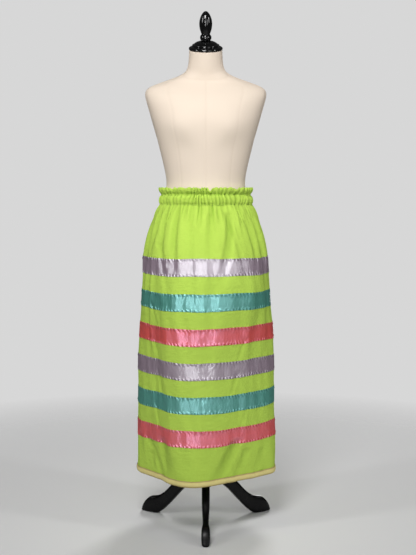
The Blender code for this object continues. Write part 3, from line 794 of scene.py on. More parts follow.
def sway(bearing, z):
    """How far the cloth's threads wander from level, which also makes the ribbons' edges wander."""
    loose = smooth_step((PANEL_TOP_Z - z) / 0.15) * smooth_step((z - HEM_Z) / 0.10)
    return loose * rippled(bearing, z, SWAY_RIPPLES)


def drift(bearing, z):
    """Slow unevenness, so that no stretch of cloth is perfectly smooth."""
    return rippled(bearing, z, DRIFT_RIPPLES) * smooth_step((PANEL_TOP_Z - z) / 0.12)


def skirt_reach(bearing, z):
    """How far the cloth's outer face stands from its centre, without the puckers."""
    side, front, back, _, wedge = sections_at(SKIRT_SECTIONS, z)
    hanging = oval_reach(bearing, side, front, back)
    folds = fold_depth(bearing, z, LARGE_FOLDS, bump) + fold_depth(bearing, z, CREASES, crisp)
    draped = hanging + (hem_reach(bearing) - hanging) * wedge + folds
    return draped + gather_fall(bearing, z) + seam_dip(bearing) + drift(bearing, z)


def cotton_puckers(bearing, z):
    return sum(
        COTTON_PUCKER * pucker(bearing, z - row_z, row, COTTON_PUCKER_REACH)
        for row, row_z in enumerate(SEWN_ROWS)
    )


def on_skirt(bearing, z, out, at_z=None):
    """Points of cloth at these bearings and heights, out metres outside the skirt's face."""
    base_z = z if at_z is None else at_z
    reach = skirt_reach(bearing, base_z) + out
    shift = sections_at(SKIRT_SECTIONS, base_z)[3]
    turn = np.radians(bearing)
    x = reach * np.sin(turn)
    y = POLE_Y + shift - reach * np.cos(turn)
    return np.column_stack((x, y, z + sway(bearing, base_z)))


def fold_shade(bearing, z):
    """How much painted shade the finish puts here: 0 on open cloth, up to 1 far down in a crease."""
    depth = fold_depth(bearing, z, CREASES, crisp) + 0.35 * fold_depth(bearing, z, LARGE_FOLDS, bump)
    depth += gather_fall(bearing, z)
    return np.clip(-depth / 0.016 - 0.05, 0, 1)


# %% [markdown]
# A strip of cloth
#
# All the cloth here starts alike: a grid primitive, one square for every few millimetres. Its points
# are then hung on the surface, its map is scaled to metres so that a thread is the same size on
# every piece, and a Solidify modifier gives it a wall behind its face. A tube's two ends are merged
# first.

# %% Helpers for cloth
def choose(piece):
    bpy.ops.object.select_all(action="DESELECT")
    piece.select_set(True)
    bpy.context.view_layer.objects.active = piece


def points_of(piece):
    spots = np.empty(3 * len(piece.data.vertices))
    piece.data.vertices.foreach_get("co", spots)
    return spots.reshape(-1, 3)


def apply_modifier(piece, kind, **settings):
    choose(piece)
    modifier = piece.modifiers.new(kind.lower(), kind)
    for setting, value in settings.items():
        setattr(modifier, setting, value)
    bpy.ops.object.modifier_apply(modifier=modifier.name)


def hang_strip(name, columns, rows, flat, place, thickness, shade=None, tube=False):
    """A grid of columns by rows squares, put where place(across, up) says, as a wall of cloth."""
    bpy.ops.object.select_all(action="DESELECT")
    bpy.ops.mesh.primitive_grid_add(x_subdivisions=columns, y_subdivisions=rows, size=1)
    strip = bpy.context.active_object
    strip.name = strip.data.name = name
    across, up = (points_of(strip)[:, :2] + 0.5).T
    strip.data.vertices.foreach_set("co", place(across, up).ravel())
    # shade gives painted shade for the fold map: darker in troughs and gathers, along stitches and seams.
    if shade is not None:
        painted_shade_map = strip.data.attributes.new("fold", "FLOAT", "POINT")
        painted_shade_map.data.foreach_set("value", shade(across, up).astype(np.float32))
    cloth_map = strip.data.uv_layers.active.uv
    spots = np.empty(2 * len(cloth_map))
    cloth_map.foreach_get("vector", spots)
    cloth_map.foreach_set("vector", (spots.reshape(-1, 2) * flat).ravel())
    if tube:
        bpy.ops.object.mode_set(mode="EDIT")
        bpy.ops.mesh.select_all(action="SELECT")
        bpy.ops.mesh.remove_doubles(threshold=0.00002)
        bpy.ops.object.mode_set(mode="OBJECT")
    apply_modifier(strip, "SOLIDIFY", thickness=thickness, offset=-1)
    bpy.ops.object.shade_smooth_by_angle(angle=math.radians(65))
    return strip


def finish_piece(piece, finish, slot, *nodes):
    """Gives a finished piece its material and says which solids it stands for; slot is not used."""
    piece.data.materials.clear()
    piece.data.materials.append(finish)
    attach(piece, "root")
    if nodes:
        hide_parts(*nodes)
    piece.data.calc_loop_triangles()
    print(piece.name, "has", len(piece.data.loop_triangles), "triangles")


# %% [markdown]
# The two panels
#
# A maker sews this skirt from a front and a back length of cotton and gathers both into the waist.
# Each panel is one strip that runs from seam to seam, and from the waistband down into the binding.

# %% Hang the panels
PANEL_COLUMNS = 236
PANEL_ROWS = 168
COTTON_THICKNESS = 0.0009
HALF_HEM = 0.640
PANEL_LENGTH = PANEL_TOP_Z - PANEL_BOTTOM_Z


def panel_spots(middle, across, up, top_z, bottom_z):
    return middle - 90 + 180 * across, bottom_z + (top_z - bottom_z) * up


for side, middle in (("front", 0), ("back", 180)):

    def place_panel(across, up):
        bearing, z = panel_spots(middle, across, up, PANEL_TOP_Z, PANEL_BOTTOM_Z)
        return on_skirt(bearing, z, cotton_puckers(bearing, z))

    def shade_panel(across, up):
        return fold_shade(*panel_spots(middle, across, up, PANEL_TOP_Z, PANEL_BOTTOM_Z))

    panel = hang_strip(
        f"cotton_{side}",
        PANEL_COLUMNS,
        PANEL_ROWS,
        (HALF_HEM, PANEL_LENGTH),
        place_panel,
        COTTON_THICKNESS,
        shade_panel,
    )
    finish_piece(panel, lime_cotton, "lime_cotton", f"skirt_{side}")

# %% [markdown]
# The ribbons
#
# Six satin ribbons, two fingers wide, are laid on the cotton as far apart as they are wide. A row of
# stitches near each edge holds them down. Between the rows the satin lifts a little off the cotton,
# and at the edges it puckers, which is what breaks up its shine. Each ribbon uses the panel's own
# columns, so that it can't cut through the cloth below it.

# %% Lay the ribbons
RIBBON_ROWS = 14
SATIN_THICKNESS = 0.0005
RIBBON_LIFT = 0.0009
SATIN_PUCKER = 0.0009
SATIN_PUCKER_REACH = 0.012
EDGE_PRESS = 0.0004


def ribbon_out(bearing, z, index):
    """How far a ribbon's face stands off the panel's face."""
    rows = (2 * index, 2 * index + 1)
    top, bottom = (SEWN_ROWS[row] for row in rows)
    inside = np.clip((top - z) / (top - bottom), 0, 1)
    lifted = EDGE_PRESS * np.sin(math.pi * inside)
    puckers = sum(pucker(bearing, z - SEWN_ROWS[row], row, SATIN_PUCKER_REACH) for row in rows)
    return RIBBON_LIFT + lifted + cotton_puckers(bearing, z) + SATIN_PUCKER * puckers


for side, middle in (("front", 0), ("back", 180)):
    for index, colour in enumerate(RIBBON_COLOURS):
        top_z = ribbon_top(index)

        def place_ribbon(across, up):
            bearing, z = panel_spots(middle, across, up, top_z, top_z - RIBBON_WIDTH)
            return on_skirt(bearing, z, ribbon_out(bearing, z, index))

        def shade_ribbon(across, up):
            return fold_shade(*panel_spots(middle, across, up, top_z, top_z - RIBBON_WIDTH))

        node = f"ribbon_{index + 1}_{colour}_{side}"
        ribbon = hang_strip(
            f"satin_{index + 1}_{colour}_{side}",
            PANEL_COLUMNS,
            RIBBON_ROWS,
            (HALF_HEM, RIBBON_WIDTH),
            place_ribbon,
            SATIN_THICKNESS,
            shade_ribbon,
        )
        finish_piece(ribbon, SATINS[colour], f"{colour}_satin", node)

# %% [markdown]
# The waistband
#
# A strip of the same cotton is folded over a wide elastic. Two rows of stitches make the casing that
# the elastic runs in, and the fold above it stands up as a ruffle. Seen in section the strip goes up
# the outside, over the top and down the inside again. The table below is that path: each row is one
# place on it, with the oval it lies on, how strongly the gathers and the ruffle show there, and how
# far inside the outer face it lies.

# %% Path of the band's section
BandPlace = namedtuple("BandPlace", "step z side depth gather ruffle inset")
BAND_PATH = (
    BandPlace(0.00, BAND_BOTTOM_Z, 0.1432, 0.1132, 0.95, 0.0, 0.0),
    BandPlace(0.05, 0.9945, 0.1426, 0.1126, 1.05, 0.0, 0.0),
    BandPlace(0.13, 1.0000, 0.1446, 0.1146, 0.95, 0.0, 0.0),
    BandPlace(0.22, 1.0070, 0.1450, 0.1150, 0.90, 0.0, 0.0),
    BandPlace(0.31, 1.0140, 0.1436, 0.1138, 0.90, 0.0, 0.0),
    BandPlace(0.37, 1.0190, 0.1402, 0.1106, 0.95, 0.0, 0.0),
    BandPlace(0.41, 1.0222, 0.1368, 0.1073, 1.00, 0.05, 0.0),
    BandPlace(0.45, 1.0255, 0.1382, 0.1090, 0.80, 0.20, 0.0),
    BandPlace(0.54, 1.0320, 0.1432, 0.1142, 0.35, 0.75, 0.0),
    BandPlace(0.62, 1.0384, 0.1450, 0.1160, 0.10, 0.95, 0.0),
    BandPlace(0.66, 1.0426, 0.1438, 0.1150, 0.0, 1.0, 0.0002),
    BandPlace(0.68, 1.0440, 0.1428, 0.1142, 0.0, 1.0, 0.0010),
    BandPlace(0.70, 1.0426, 0.1434, 0.1148, 0.0, 1.0, 0.0018),
    BandPlace(0.74, 1.0384, 0.1446, 0.1156, 0.10, 0.95, 0.0020),
    BandPlace(0.82, 1.0320, 0.1430, 0.1140, 0.35, 0.70, 0.0019),
    BandPlace(0.91, 1.0255, 0.1382, 0.1090, 0.80, 0.20, 0.0017),
    BandPlace(1.00, 1.0180, 0.1400, 0.1102, 0.95, 0.0, 0.0018),
)
HEADER_WAVES = 50
RUFFLE_DEPTH = 0.0085
SCALLOP = 0.0040
Notch = namedtuple("Notch", "bearing half_width drop")
HEADER_DIPS = (
    Notch(6.5, 4.0, 0.0105),
    Notch(47, 4.5, 0.0065),
    Notch(-9, 3.5, 0.0030),
    Notch(-52, 4.0, 0.0035),
    Notch(118, 5.0, 0.0060),
    Notch(176, 4.5, 0.0080),
    Notch(238, 4.5, 0.0055),
)
CASING_PINCHES = (
    Notch(-62, 2.4, 0.0016), Notch(-18, 2.6, 0.0022), Notch(6.3, 2.8, 0.0028), Notch(31.5, 2.6, 0.0024),
    Notch(47, 3.0, 0.0026), Notch(74, 2.4, 0.0018), Notch(101, 2.6, 0.0020), Notch(133, 2.8, 0.0026),
    Notch(158, 2.4, 0.0018), Notch(176, 3.0, 0.0026), Notch(205, 2.6, 0.0022), Notch(238, 2.8, 0.0024),
)


def notched(bearing, notches):
    return sum(
        notch.drop * bump(turn_between(bearing, notch.bearing), notch.half_width) for notch in notches
    )


def header_lobe(bearing):
    """The ruffle's rounded lobes: 1 on a crest, falling to 0 in the sharp valley between two."""
    turn = np.radians(bearing)
    phase = HEADER_WAVES / 2 * turn + 0.5 * np.sin(3 * turn) + 0.5 * np.sin(7 * turn + 1)
    return np.abs(np.sin(phase + 0.3 * np.sin(16 * turn))) ** 0.6


def band_lean(bearing, z):
    """How many degrees the gathers lean aside by this height, since they never stand quite upright."""
    turn = np.radians(bearing)
    return (100 * np.sin(4 * turn + 0.5) + 60 * np.sin(9 * turn + 2)) * (z - BAND_BOTTOM_Z)


# %% Fold the band over its elastic
BAND_COLUMNS = 640
BAND_ROWS = 30
BAND_THICKNESS = 0.0007


def place_band(across, up):
    bearing = 360 * across - 90
    z, side, depth, gather, ruffle, inset = sections_at(BAND_PATH, up)
    turn = np.radians(bearing)
    lean = band_lean(bearing, z)
    lobe = header_lobe(bearing + 0.8 * lean)
    reach = oval_reach(bearing, side, depth, depth) - inset
    reach -= 1.2 * GATHER_DEPTH * gather * (1 - gather_crest(bearing + lean))
    reach -= notched(bearing, CASING_PINCHES) * gather
    reach -= ruffle * RUFFLE_DEPTH * (0.75 + 0.25 * np.sin(5 * turn + 1)) * (1 - lobe)
    z = z + ruffle**3 * (SCALLOP * (lobe - 0.45) - notched(bearing, HEADER_DIPS))
    return np.column_stack((reach * np.sin(turn), POLE_Y - reach * np.cos(turn), z))


def shade_band(across, up):
    bearing = 360 * across - 90
    z, _, _, gather, ruffle, _ = sections_at(BAND_PATH, up)
    lean = band_lean(bearing, z)
    low = (1 - gather_crest(bearing + lean)) ** 2 + notched(bearing, CASING_PINCHES) / 0.006
    valley = (1 - header_lobe(bearing + 0.8 * lean)) ** 2
    return np.clip(0.95 * gather * low + 0.9 * ruffle * valley, 0, 0.95)


BAND_FLAT = (1.15, 0.085)
band = hang_strip(
    "cotton_waistband",
    BAND_COLUMNS,
    BAND_ROWS,
    BAND_FLAT,
    place_band,
    BAND_THICKNESS,
    shade_band,
    tube=True,
)
finish_piece(band, lime_cotton, "lime_cotton", "waistband")

# %% [markdown]
# The hem's binding
#
# A bias strip is folded over the hem and stitched through near its upper edge. Its section is a
# narrow U, so a path of distances out from the cloth and heights is enough. Bias cut cloth rounds
# softly at the fold and puckers along the stitches.

# %% Bind the hem
BindingPlace = namedtuple("BindingPlace", "step z out")
BINDING_PATH = (
    BindingPlace(0.00, HEM_Z + BINDING_WIDTH, 0.0012),
    BindingPlace(0.03, HEM_Z + BINDING_WIDTH - 0.0003, 0.0022),
    BindingPlace(0.08, BINDING_STITCH_Z, 0.0017),
    BindingPlace(0.20, HEM_Z + 0.0120, 0.0027),
    BindingPlace(0.34, HEM_Z + 0.0060, 0.0027),
    BindingPlace(0.44, HEM_Z + 0.0018, 0.0019),
    BindingPlace(0.50, HEM_Z + 0.0001, 0.0001),
    BindingPlace(0.56, HEM_Z + 0.0012, -0.0019),
    BindingPlace(0.66, HEM_Z + 0.0060, -0.0025),
    BindingPlace(1.00, HEM_Z + BINDING_WIDTH, -0.0025),
)
BINDING_COLUMNS = 472
BINDING_ROWS = 16
BINDING_THICKNESS = 0.0007
BINDING_JOIN = 63.0
BINDING_JOIN_STEP = 0.0011
BINDING_PUCKER = 0.0010
BINDING_PUCKER_REACH = 0.016


def place_binding(across, up):
    bearing = 360 * across - 90
    z, out = sections_at(BINDING_PATH, up)
    outside = up < 0.5
    from_join = turn_between(bearing, BINDING_JOIN)
    join = BINDING_JOIN_STEP * smooth_step((from_join + 4) / 1.2) * bump(from_join, 8)
    row = len(SEWN_ROWS) - 1
    folds = BINDING_PUCKER * pucker(bearing, z - BINDING_STITCH_Z, row, BINDING_PUCKER_REACH)
    out = out + np.where(outside, folds + join, 0)
    return on_skirt(bearing, z, out, at_z=np.maximum(z, PANEL_BOTTOM_Z))


def shade_binding(across, up):
    at_stitch = bump(up - 0.08, 0.06)
    return np.clip(1.1 * at_stitch + 0.6 * bump(up, 0.03) + 0.7 * smooth_step((up - 0.33) / 0.13), 0, 1)


BINDING_FLAT = (2 * HALF_HEM, 2 * BINDING_WIDTH + 0.004)
binding = hang_strip(
    "hem_bias_binding",
    BINDING_COLUMNS,
    BINDING_ROWS,
    BINDING_FLAT,
    place_binding,
    BINDING_THICKNESS,
    shade_binding,
    tube=True,
)
finish_piece(binding, straw_binding, "straw_binding", "hem_binding")

# %% [markdown]
# The stitches
#
# A machine stitch shows as a short raised grain of thread with a dimple at each end. One grain is
# modelled from a small sphere with few faces, and copied along every seam, turned to the seam's
# direction. All the stitches of one colour are one mesh, because thousands of objects would be slow.

# %% One stitch, copied along the seams
STITCH_PITCH = 0.0042
STITCH_LENGTH = 0.0034
THREAD_RADIUS = 0.00032
STITCH_RAISE = 0.0001

bpy.ops.object.select_all(action="DESELECT")
bpy.ops.mesh.primitive_uv_sphere_add(segments=4, ring_count=4, radius=1)
grain = bpy.context.active_object
grain_spots = points_of(grain)
grain_faces = [list(face.vertices) for face in grain.data.polygons]
bpy.data.objects.remove(grain, do_unlink=True)


def sew(name, seams, finish, slot):
    """Stitches along each seam, which is an array of points close together."""
    spots, faces, count = [], [], 0
    for seam in seams:
        steps = np.linalg.norm(np.diff(seam, axis=0), axis=1)
        gone = np.r_[0, np.cumsum(steps)]
        starts = np.arange(0.5 * STITCH_PITCH, gone[-1], STITCH_PITCH)
        middles = np.column_stack([np.interp(starts, gone, column) for column in seam.T])
        ahead = np.column_stack([np.interp(starts + 0.001, gone, column) for column in seam.T])
        for middle, nose in zip(middles, ahead):
            along = nose - middle
            if np.linalg.norm(along) < 1e-6:
                continue
            along /= np.linalg.norm(along)
            outward = np.array([middle[0], middle[1] - POLE_Y, 0.0])
            outward -= along * (outward @ along)
            outward /= np.linalg.norm(outward)
            sideways = np.cross(along, outward)
            axes = np.array([sideways * THREAD_RADIUS, outward * THREAD_RADIUS, along * STITCH_LENGTH / 2])
            spots.append(grain_spots @ axes + middle)
            faces += [[corner + count for corner in face] for face in grain_faces]
            count += len(grain_spots)
    mesh = bpy.data.meshes.new(name)
    mesh.from_pydata(np.concatenate(spots).tolist(), [], faces)
    mesh.shade_smooth()
    piece = bpy.data.objects.new(name, mesh)
    bpy.context.scene.collection.objects.link(piece)
    choose(piece)
    bpy.ops.object.mode_set(mode="EDIT")
    bpy.ops.mesh.select_all(action="SELECT")
    bpy.ops.mesh.normals_make_consistent(inside=False)
    bpy.ops.object.mode_set(mode="OBJECT")
    finish_piece(piece, finish, slot)
    return len(spots)


# %% Thread and its finish
def thread_finish(name, colour):
    finish, shader = start_finish(name, 0.55, Sheen_Weight=0.3, Specular_IOR_Level=0.4)
    place = add_node(finish, "ShaderNodeTexCoord").outputs["Object"]
    twist = noise(finish, place, 1800.0, 2.0)
    shaded = tuple(0.75 * part for part in colour)
    feed(finish, ramp(finish, twist, ((0.3, shaded), (0.7, colour))), shader, "Base Color")
    return finish


THREAD_COLOURS = {
    "lilac": (0.40, 0.30, 0.42),
    "teal": (0.09, 0.34, 0.30),
    "coral": (0.60, 0.11, 0.12),
    "lime": (0.36, 0.55, 0.07),
    # The hem's thread is dark brown, near the binding's painted shade colour: it is thread, and also painted
    # shade for the shadow under the binding's top fold.
    "straw": (0.30, 0.20, 0.08),
}
THREADS = {name: thread_finish(f"{name}_thread", colour) for name, colour in THREAD_COLOURS.items()}
SEAM_STEPS = 1440
round_bearings = np.linspace(-90, 270, SEAM_STEPS)


def ribbon_seam(row, index):
    z = np.full(SEAM_STEPS, SEWN_ROWS[row])
    return on_skirt(round_bearings, z, ribbon_out(round_bearings, z, index) + STITCH_RAISE)


for colour in ("lilac", "teal", "coral"):
    seams = []
    for index, ribbon_colour in enumerate(RIBBON_COLOURS):
        if ribbon_colour == colour:
            seams += [ribbon_seam(2 * index, index), ribbon_seam(2 * index + 1, index)]
    print(colour, "stitches:", sew(f"stitches_{colour}", seams, THREADS[colour], f"{colour}_satin"))

band_share = (round_bearings + 90) / 360
CASING_STITCHES = (0.05, 0.41)
HEM_STITCHES = 0.08
band_seams = [place_band(band_share, np.full(SEAM_STEPS, step)) for step in CASING_STITCHES]
print("waist stitches:", sew("stitches_waist", band_seams, THREADS["lime"], "lime_cotton"))
binding_seam = place_binding(band_share, np.full(SEAM_STEPS, HEM_STITCHES))
print("hem stitches:", sew("stitches_hem", [binding_seam], THREADS["straw"], "straw_binding"))

# %% [markdown]
# The dress form
#
# A dress form is a stuffed linen cover over a moulded shell, sewn from tall panels. It is built as a
# loft: a circle is added at the underside, its edge is extruded up one section at a time, and
# each new ring is set on that section's oval. A Subdivision Surface rounds it. The seams are
# then pressed in as narrow grooves, and the cover swells slightly on both sides of each.

# %% Sections of the form
FormRing = namedtuple("FormRing", "z side front back n lean tilt")
FORM_RINGS = (
    FormRing(0.775, 0.1540, 0.0990, 0.1120, 2.0, 0.0, 0.0),
    FormRing(0.785, 0.1610, 0.1050, 0.1190, 2.0, 0.0, 0.0),
    FormRing(0.830, 0.1660, 0.1110, 0.1290, 2.0, 0.0, 0.0),
    FormRing(0.890, 0.1610, 0.1150, 0.1310, 2.0, 0.0, 0.0),
    FormRing(0.945, 0.1490, 0.1130, 0.1210, 2.0, 0.0, 0.0),
    FormRing(0.992, 0.1356, 0.1056, 0.1056, 2.0, 0.0, 0.0),
    FormRing(1.022, 0.1260, 0.0955, 0.0930, 2.0, 0.0, 0.0),
    FormRing(1.055, 0.1195, 0.0900, 0.0860, 2.0, 0.0, 0.0),
    FormRing(1.090, 0.1235, 0.0910, 0.0860, 2.05, 0.0, 0.0),
    FormRing(1.140, 0.1350, 0.0980, 0.0890, 2.1, 0.0, 0.0),
    FormRing(1.190, 0.1475, 0.1090, 0.0930, 2.15, 0.0, 0.0),
    FormRing(1.237, 0.1610, 0.1130, 0.0970, 2.2, 0.0, 0.0),
    FormRing(1.285, 0.1745, 0.1000, 0.0980, 2.3, 0.0, 0.0),
    FormRing(1.315, 0.1830, 0.0820, 0.0920, 2.4, 0.0, 0.0),
    FormRing(1.333, 0.1835, 0.0690, 0.0830, 2.4, 0.002, 0.0),
    FormRing(1.346, 0.1740, 0.0600, 0.0740, 2.3, 0.004, 0.0),
    FormRing(1.357, 0.1480, 0.0540, 0.0660, 2.15, 0.005, 0.1),
    FormRing(1.369, 0.1140, 0.0510, 0.0600, 2.05, 0.005, 0.2),
    FormRing(1.381, 0.0820, 0.0500, 0.0550, 2.0, 0.004, 0.3),
    FormRing(1.395, 0.0600, 0.0500, 0.0520, 2.0, 0.002, 0.45),
    FormRing(1.420, 0.0520, 0.0505, 0.0505, 2.0, -0.002, 0.7),
    FormRing(1.4555, 0.0501, 0.0501, 0.0501, 2.0, -0.0058, 0.97),
    FormRing(1.458, 0.0500, 0.0500, 0.0500, 2.0, -0.006, 1.0),
)
NECK_SLANT = math.radians(17)
BustPad = namedtuple("BustPad", "bearing wide z tall depth")
BUST_PADS = (
    BustPad(37, 17, 1.228, 0.034, 0.0060),
    BustPad(0, 15, 1.215, 0.050, -0.0040),
    BustPad(36, 18, 1.165, 0.026, -0.0030),
)


def bust(bearing, height):
    """The padding's swell on both sides of the middle, and the hollows between and below."""
    off = turn_between(bearing, 0)
    return sum(
        depth * np.exp(-(((np.abs(off) - middle) / wide) ** 2) - ((height - z) / tall) ** 2)
        for middle, wide, z, tall, depth in BUST_PADS
    )


def on_form(bearing, height):
    """Points of the form's surface at these bearings, on the section named by its height."""
    side, front, back, n, lean, tilt = sections_at(FORM_RINGS, height)
    reach = oval_reach(bearing, side, front, back, n) + bust(bearing, height)
    turn = np.radians(bearing)
    x, y = reach * np.sin(turn), -reach * np.cos(turn)
    return np.column_stack((x, y + lean + POLE_Y, height + y * math.tan(NECK_SLANT) * tilt))


# %% Loft the form ring by ring
def rows_up(knots, between):
    """The heights of the knots with evenly spaced heights between each two."""
    heights = [np.linspace(low, high, between + 1)[:-1] for low, high in zip(knots, knots[1:])]
    return np.r_[np.concatenate(heights), knots[-1]]


def loft(name, rings):
    """A skin through rings of points: a circle, extruded up once for each ring and set on its points."""
    sides = len(rings[0])
    bpy.ops.object.select_all(action="DESELECT")
    bpy.ops.mesh.primitive_circle_add(vertices=sides, radius=0.1, fill_type="NOTHING")
    skin = bpy.context.active_object
    skin.name = skin.data.name = name
    bpy.ops.object.mode_set(mode="EDIT")
    for _ in rings[1:]:
        bpy.ops.mesh.extrude_edges_move(TRANSFORM_OT_translate={"value": (0, 0, 0.01)})
    bpy.ops.object.mode_set(mode="OBJECT")
    skin.data.vertices.foreach_set("co", np.concatenate(rings).ravel())
    return skin


def close_ends(skin):
    """Fills the open edges at both ends and turns all faces outwards."""
    choose(skin)
    bpy.ops.object.mode_set(mode="EDIT")
    bpy.ops.mesh.select_mode(type="EDGE")
    bpy.ops.mesh.select_all(action="DESELECT")
    bpy.ops.mesh.select_non_manifold()
    bpy.ops.mesh.edge_face_add()
    bpy.ops.mesh.select_all(action="SELECT")
    bpy.ops.mesh.normals_make_consistent(inside=False)
    bpy.ops.mesh.select_mode(type="VERT")
    bpy.ops.object.mode_set(mode="OBJECT")


FORM_SIDES = 72
form_bearings = np.arange(FORM_SIDES) * 360 / FORM_SIDES
form_heights = rows_up([ring.z for ring in FORM_RINGS], 2)
form = loft("form_cover", [on_form(form_bearings, np.full(FORM_SIDES, z)) for z in form_heights])
close_ends(form)
apply_modifier(form, "SUBSURF", levels=2, render_levels=2)
print("form points:", len(form.data.vertices))

# %% [markdown]
# The cover's seams
#
# A seam is a line of places on the cover, given as bearings at heights. For each point of the dense
# mesh, the distance to the nearest seam is measured round the form, and the point is pushed in or
# out along its normal. The same distance goes into the fold map, so that the finish paints shade into
# each seam's groove.

# %% Press the seams in
SeamPlace = namedtuple("SeamPlace", "z bearing")
PRINCESS_SEAM = (
    SeamPlace(0.780, 46), SeamPlace(1.048, 45.5), SeamPlace(1.120, 45), SeamPlace(1.212, 44),
    SeamPlace(1.255, 45.5), SeamPlace(1.300, 53), SeamPlace(1.345, 67),
)
UPRIGHT_SEAMS = (
    (SeamPlace(0.780, 0), SeamPlace(1.36, 0)),
    (SeamPlace(0.780, 180), SeamPlace(1.37, 180)),
    PRINCESS_SEAM,
    tuple(SeamPlace(place.z, -place.bearing) for place in PRINCESS_SEAM),
    (SeamPlace(0.780, 142), SeamPlace(1.04, 146), SeamPlace(1.237, 140), SeamPlace(1.350, 122)),
    (SeamPlace(0.780, 218), SeamPlace(1.04, 214), SeamPlace(1.237, 220), SeamPlace(1.350, 238)),
    (SeamPlace(0.780, 90), SeamPlace(1.230, 90)),
    (SeamPlace(0.780, 270), SeamPlace(1.230, 270)),
)
SEAM_HALF_WIDTH = 0.0026
SEAM_DEPTH = 0.0005
# How dark the painted shade in a seam's groove is.
SEAM_SHADE = 0.10
NECK_SEAM = 1.395
NECK_SEAM_SLOPE = 0.66
ARM_PLATE_Z = 1.266
ARM_PLATE_HALF = (0.030, 0.078)


def seam_distance(spots):
    """How far each point is from the nearest seam, in metres."""
    bearing = np.degrees(np.arctan2(spots[:, 0], -(spots[:, 1] - POLE_Y)))
    reach = np.hypot(spots[:, 0], spots[:, 1] - POLE_Y)
    nearest = np.full(len(spots), 1.0)
    for seam in UPRIGHT_SEAMS:
        at = smooth_curve(spots[:, 2], [place.z for place in seam], [place.bearing for place in seam])
        away = np.radians(np.abs(turn_between(bearing, at))) * reach
        beyond = np.maximum(spots[:, 2] - seam[-1].z, 0)
        nearest = np.minimum(nearest, away + 3 * beyond)
    ahead, up = spots[:, 1] - POLE_Y, spots[:, 2]
    nearest = np.minimum(nearest, np.abs(up - NECK_SEAM_SLOPE * ahead - NECK_SEAM))
    plate = np.hypot(ahead / ARM_PLATE_HALF[0], (up - ARM_PLATE_Z) / ARM_PLATE_HALF[1])
    on_side = np.abs(spots[:, 0]) > 0.1
    return np.where(on_side, np.minimum(nearest, ARM_PLATE_HALF[0] * np.abs(plate - 1)), nearest)


def press_seams(skin, distance):
    """Pushes a skin in along a seam and swells it beside the seam; paints shade into the groove through the
    fold map.
    """
    normals = np.empty(3 * len(skin.data.vertices))
    skin.data.vertices.foreach_get("normal", normals)
    groove = np.exp(-((distance / SEAM_HALF_WIDTH) ** 2))
    swell = np.exp(-(((distance - 0.007) / 0.005) ** 2))
    push = -SEAM_DEPTH * groove + 0.25 * SEAM_DEPTH * swell
    moved = points_of(skin) + normals.reshape(-1, 3) * push[:, None]
    skin.data.vertices.foreach_set("co", moved.ravel())
    # The fold map gets painted shade along each seam's groove.
    painted_shade_map = skin.data.attributes.new("fold", "FLOAT", "POINT")
    painted_shade_map.data.foreach_set("value", (SEAM_SHADE * groove).astype(np.float32))


press_seams(form, seam_distance(points_of(form)))
choose(form)
bpy.ops.object.shade_smooth()
finish_piece(form, form_linen, "cream_form_cloth", "dress_form")

# %% [markdown]
# Turned wood
#
# A lathe cuts a profile that is the same all round. Blender's Spin does that: a single point is
# drawn out along the profile, edge by edge, and the line is spun once round the axis. Smooth curves
# through a few chosen radii stand for the turner's gouge.

# %% The lathe
def turn_on_lathe(name, profile, steps, finer):
    """A turned piece round the world's Z axis; profile is radius and height from the bottom up."""
    profile = np.array(profile)
    gone = np.r_[0, np.cumsum(np.linalg.norm(np.diff(profile, axis=0), axis=1))]
    at = rows_up(gone, finer)
    line = np.column_stack([smooth_curve(at, gone, column) for column in profile.T])
    line[:, 0] = np.maximum(line[:, 0], 0)
    bpy.ops.object.select_all(action="DESELECT")
    bpy.ops.mesh.primitive_plane_add(size=0.01)
    piece = bpy.context.active_object
    piece.name = piece.data.name = name
    bpy.ops.object.mode_set(mode="EDIT")
    bpy.ops.mesh.merge(type="CENTER")
    bpy.ops.transform.translate(value=(line[0, 0], 0, line[0, 1]))
    for before, after in zip(line, line[1:]):
        step = (after[0] - before[0], 0, after[1] - before[1])
        bpy.ops.mesh.extrude_vertices_move(TRANSFORM_OT_translate={"value": step})
    bpy.ops.mesh.select_all(action="SELECT")
    bpy.ops.mesh.spin(steps=steps, angle=2 * math.pi, center=(0, 0, 0), axis=(0, 0, 1))
    bpy.ops.mesh.select_all(action="SELECT")
    bpy.ops.mesh.remove_doubles(threshold=0.00002)
    bpy.ops.mesh.select_all(action="SELECT")
    bpy.ops.mesh.normals_make_consistent(inside=False)
    bpy.ops.object.mode_set(mode="OBJECT")
    bpy.ops.object.shade_smooth_by_angle(angle=math.radians(38))
    return piece


def set_in_place(piece, place, slant=0.0):
    """Puts a piece made at the world's centre where it belongs, with its place in its mesh."""
    choose(piece)
    piece.location = place
    piece.rotation_euler = (slant, 0, 0)
    bpy.ops.object.transform_apply(location=True, rotation=True, scale=True)


# %% [markdown]
# The neck cap and its knob
#
# The cap is a shallow disc with a stepped moulding, and the knob is an egg on a bead. Both stand
# square to the neck's slanted top, so they are turned upright first and tilted at the end.

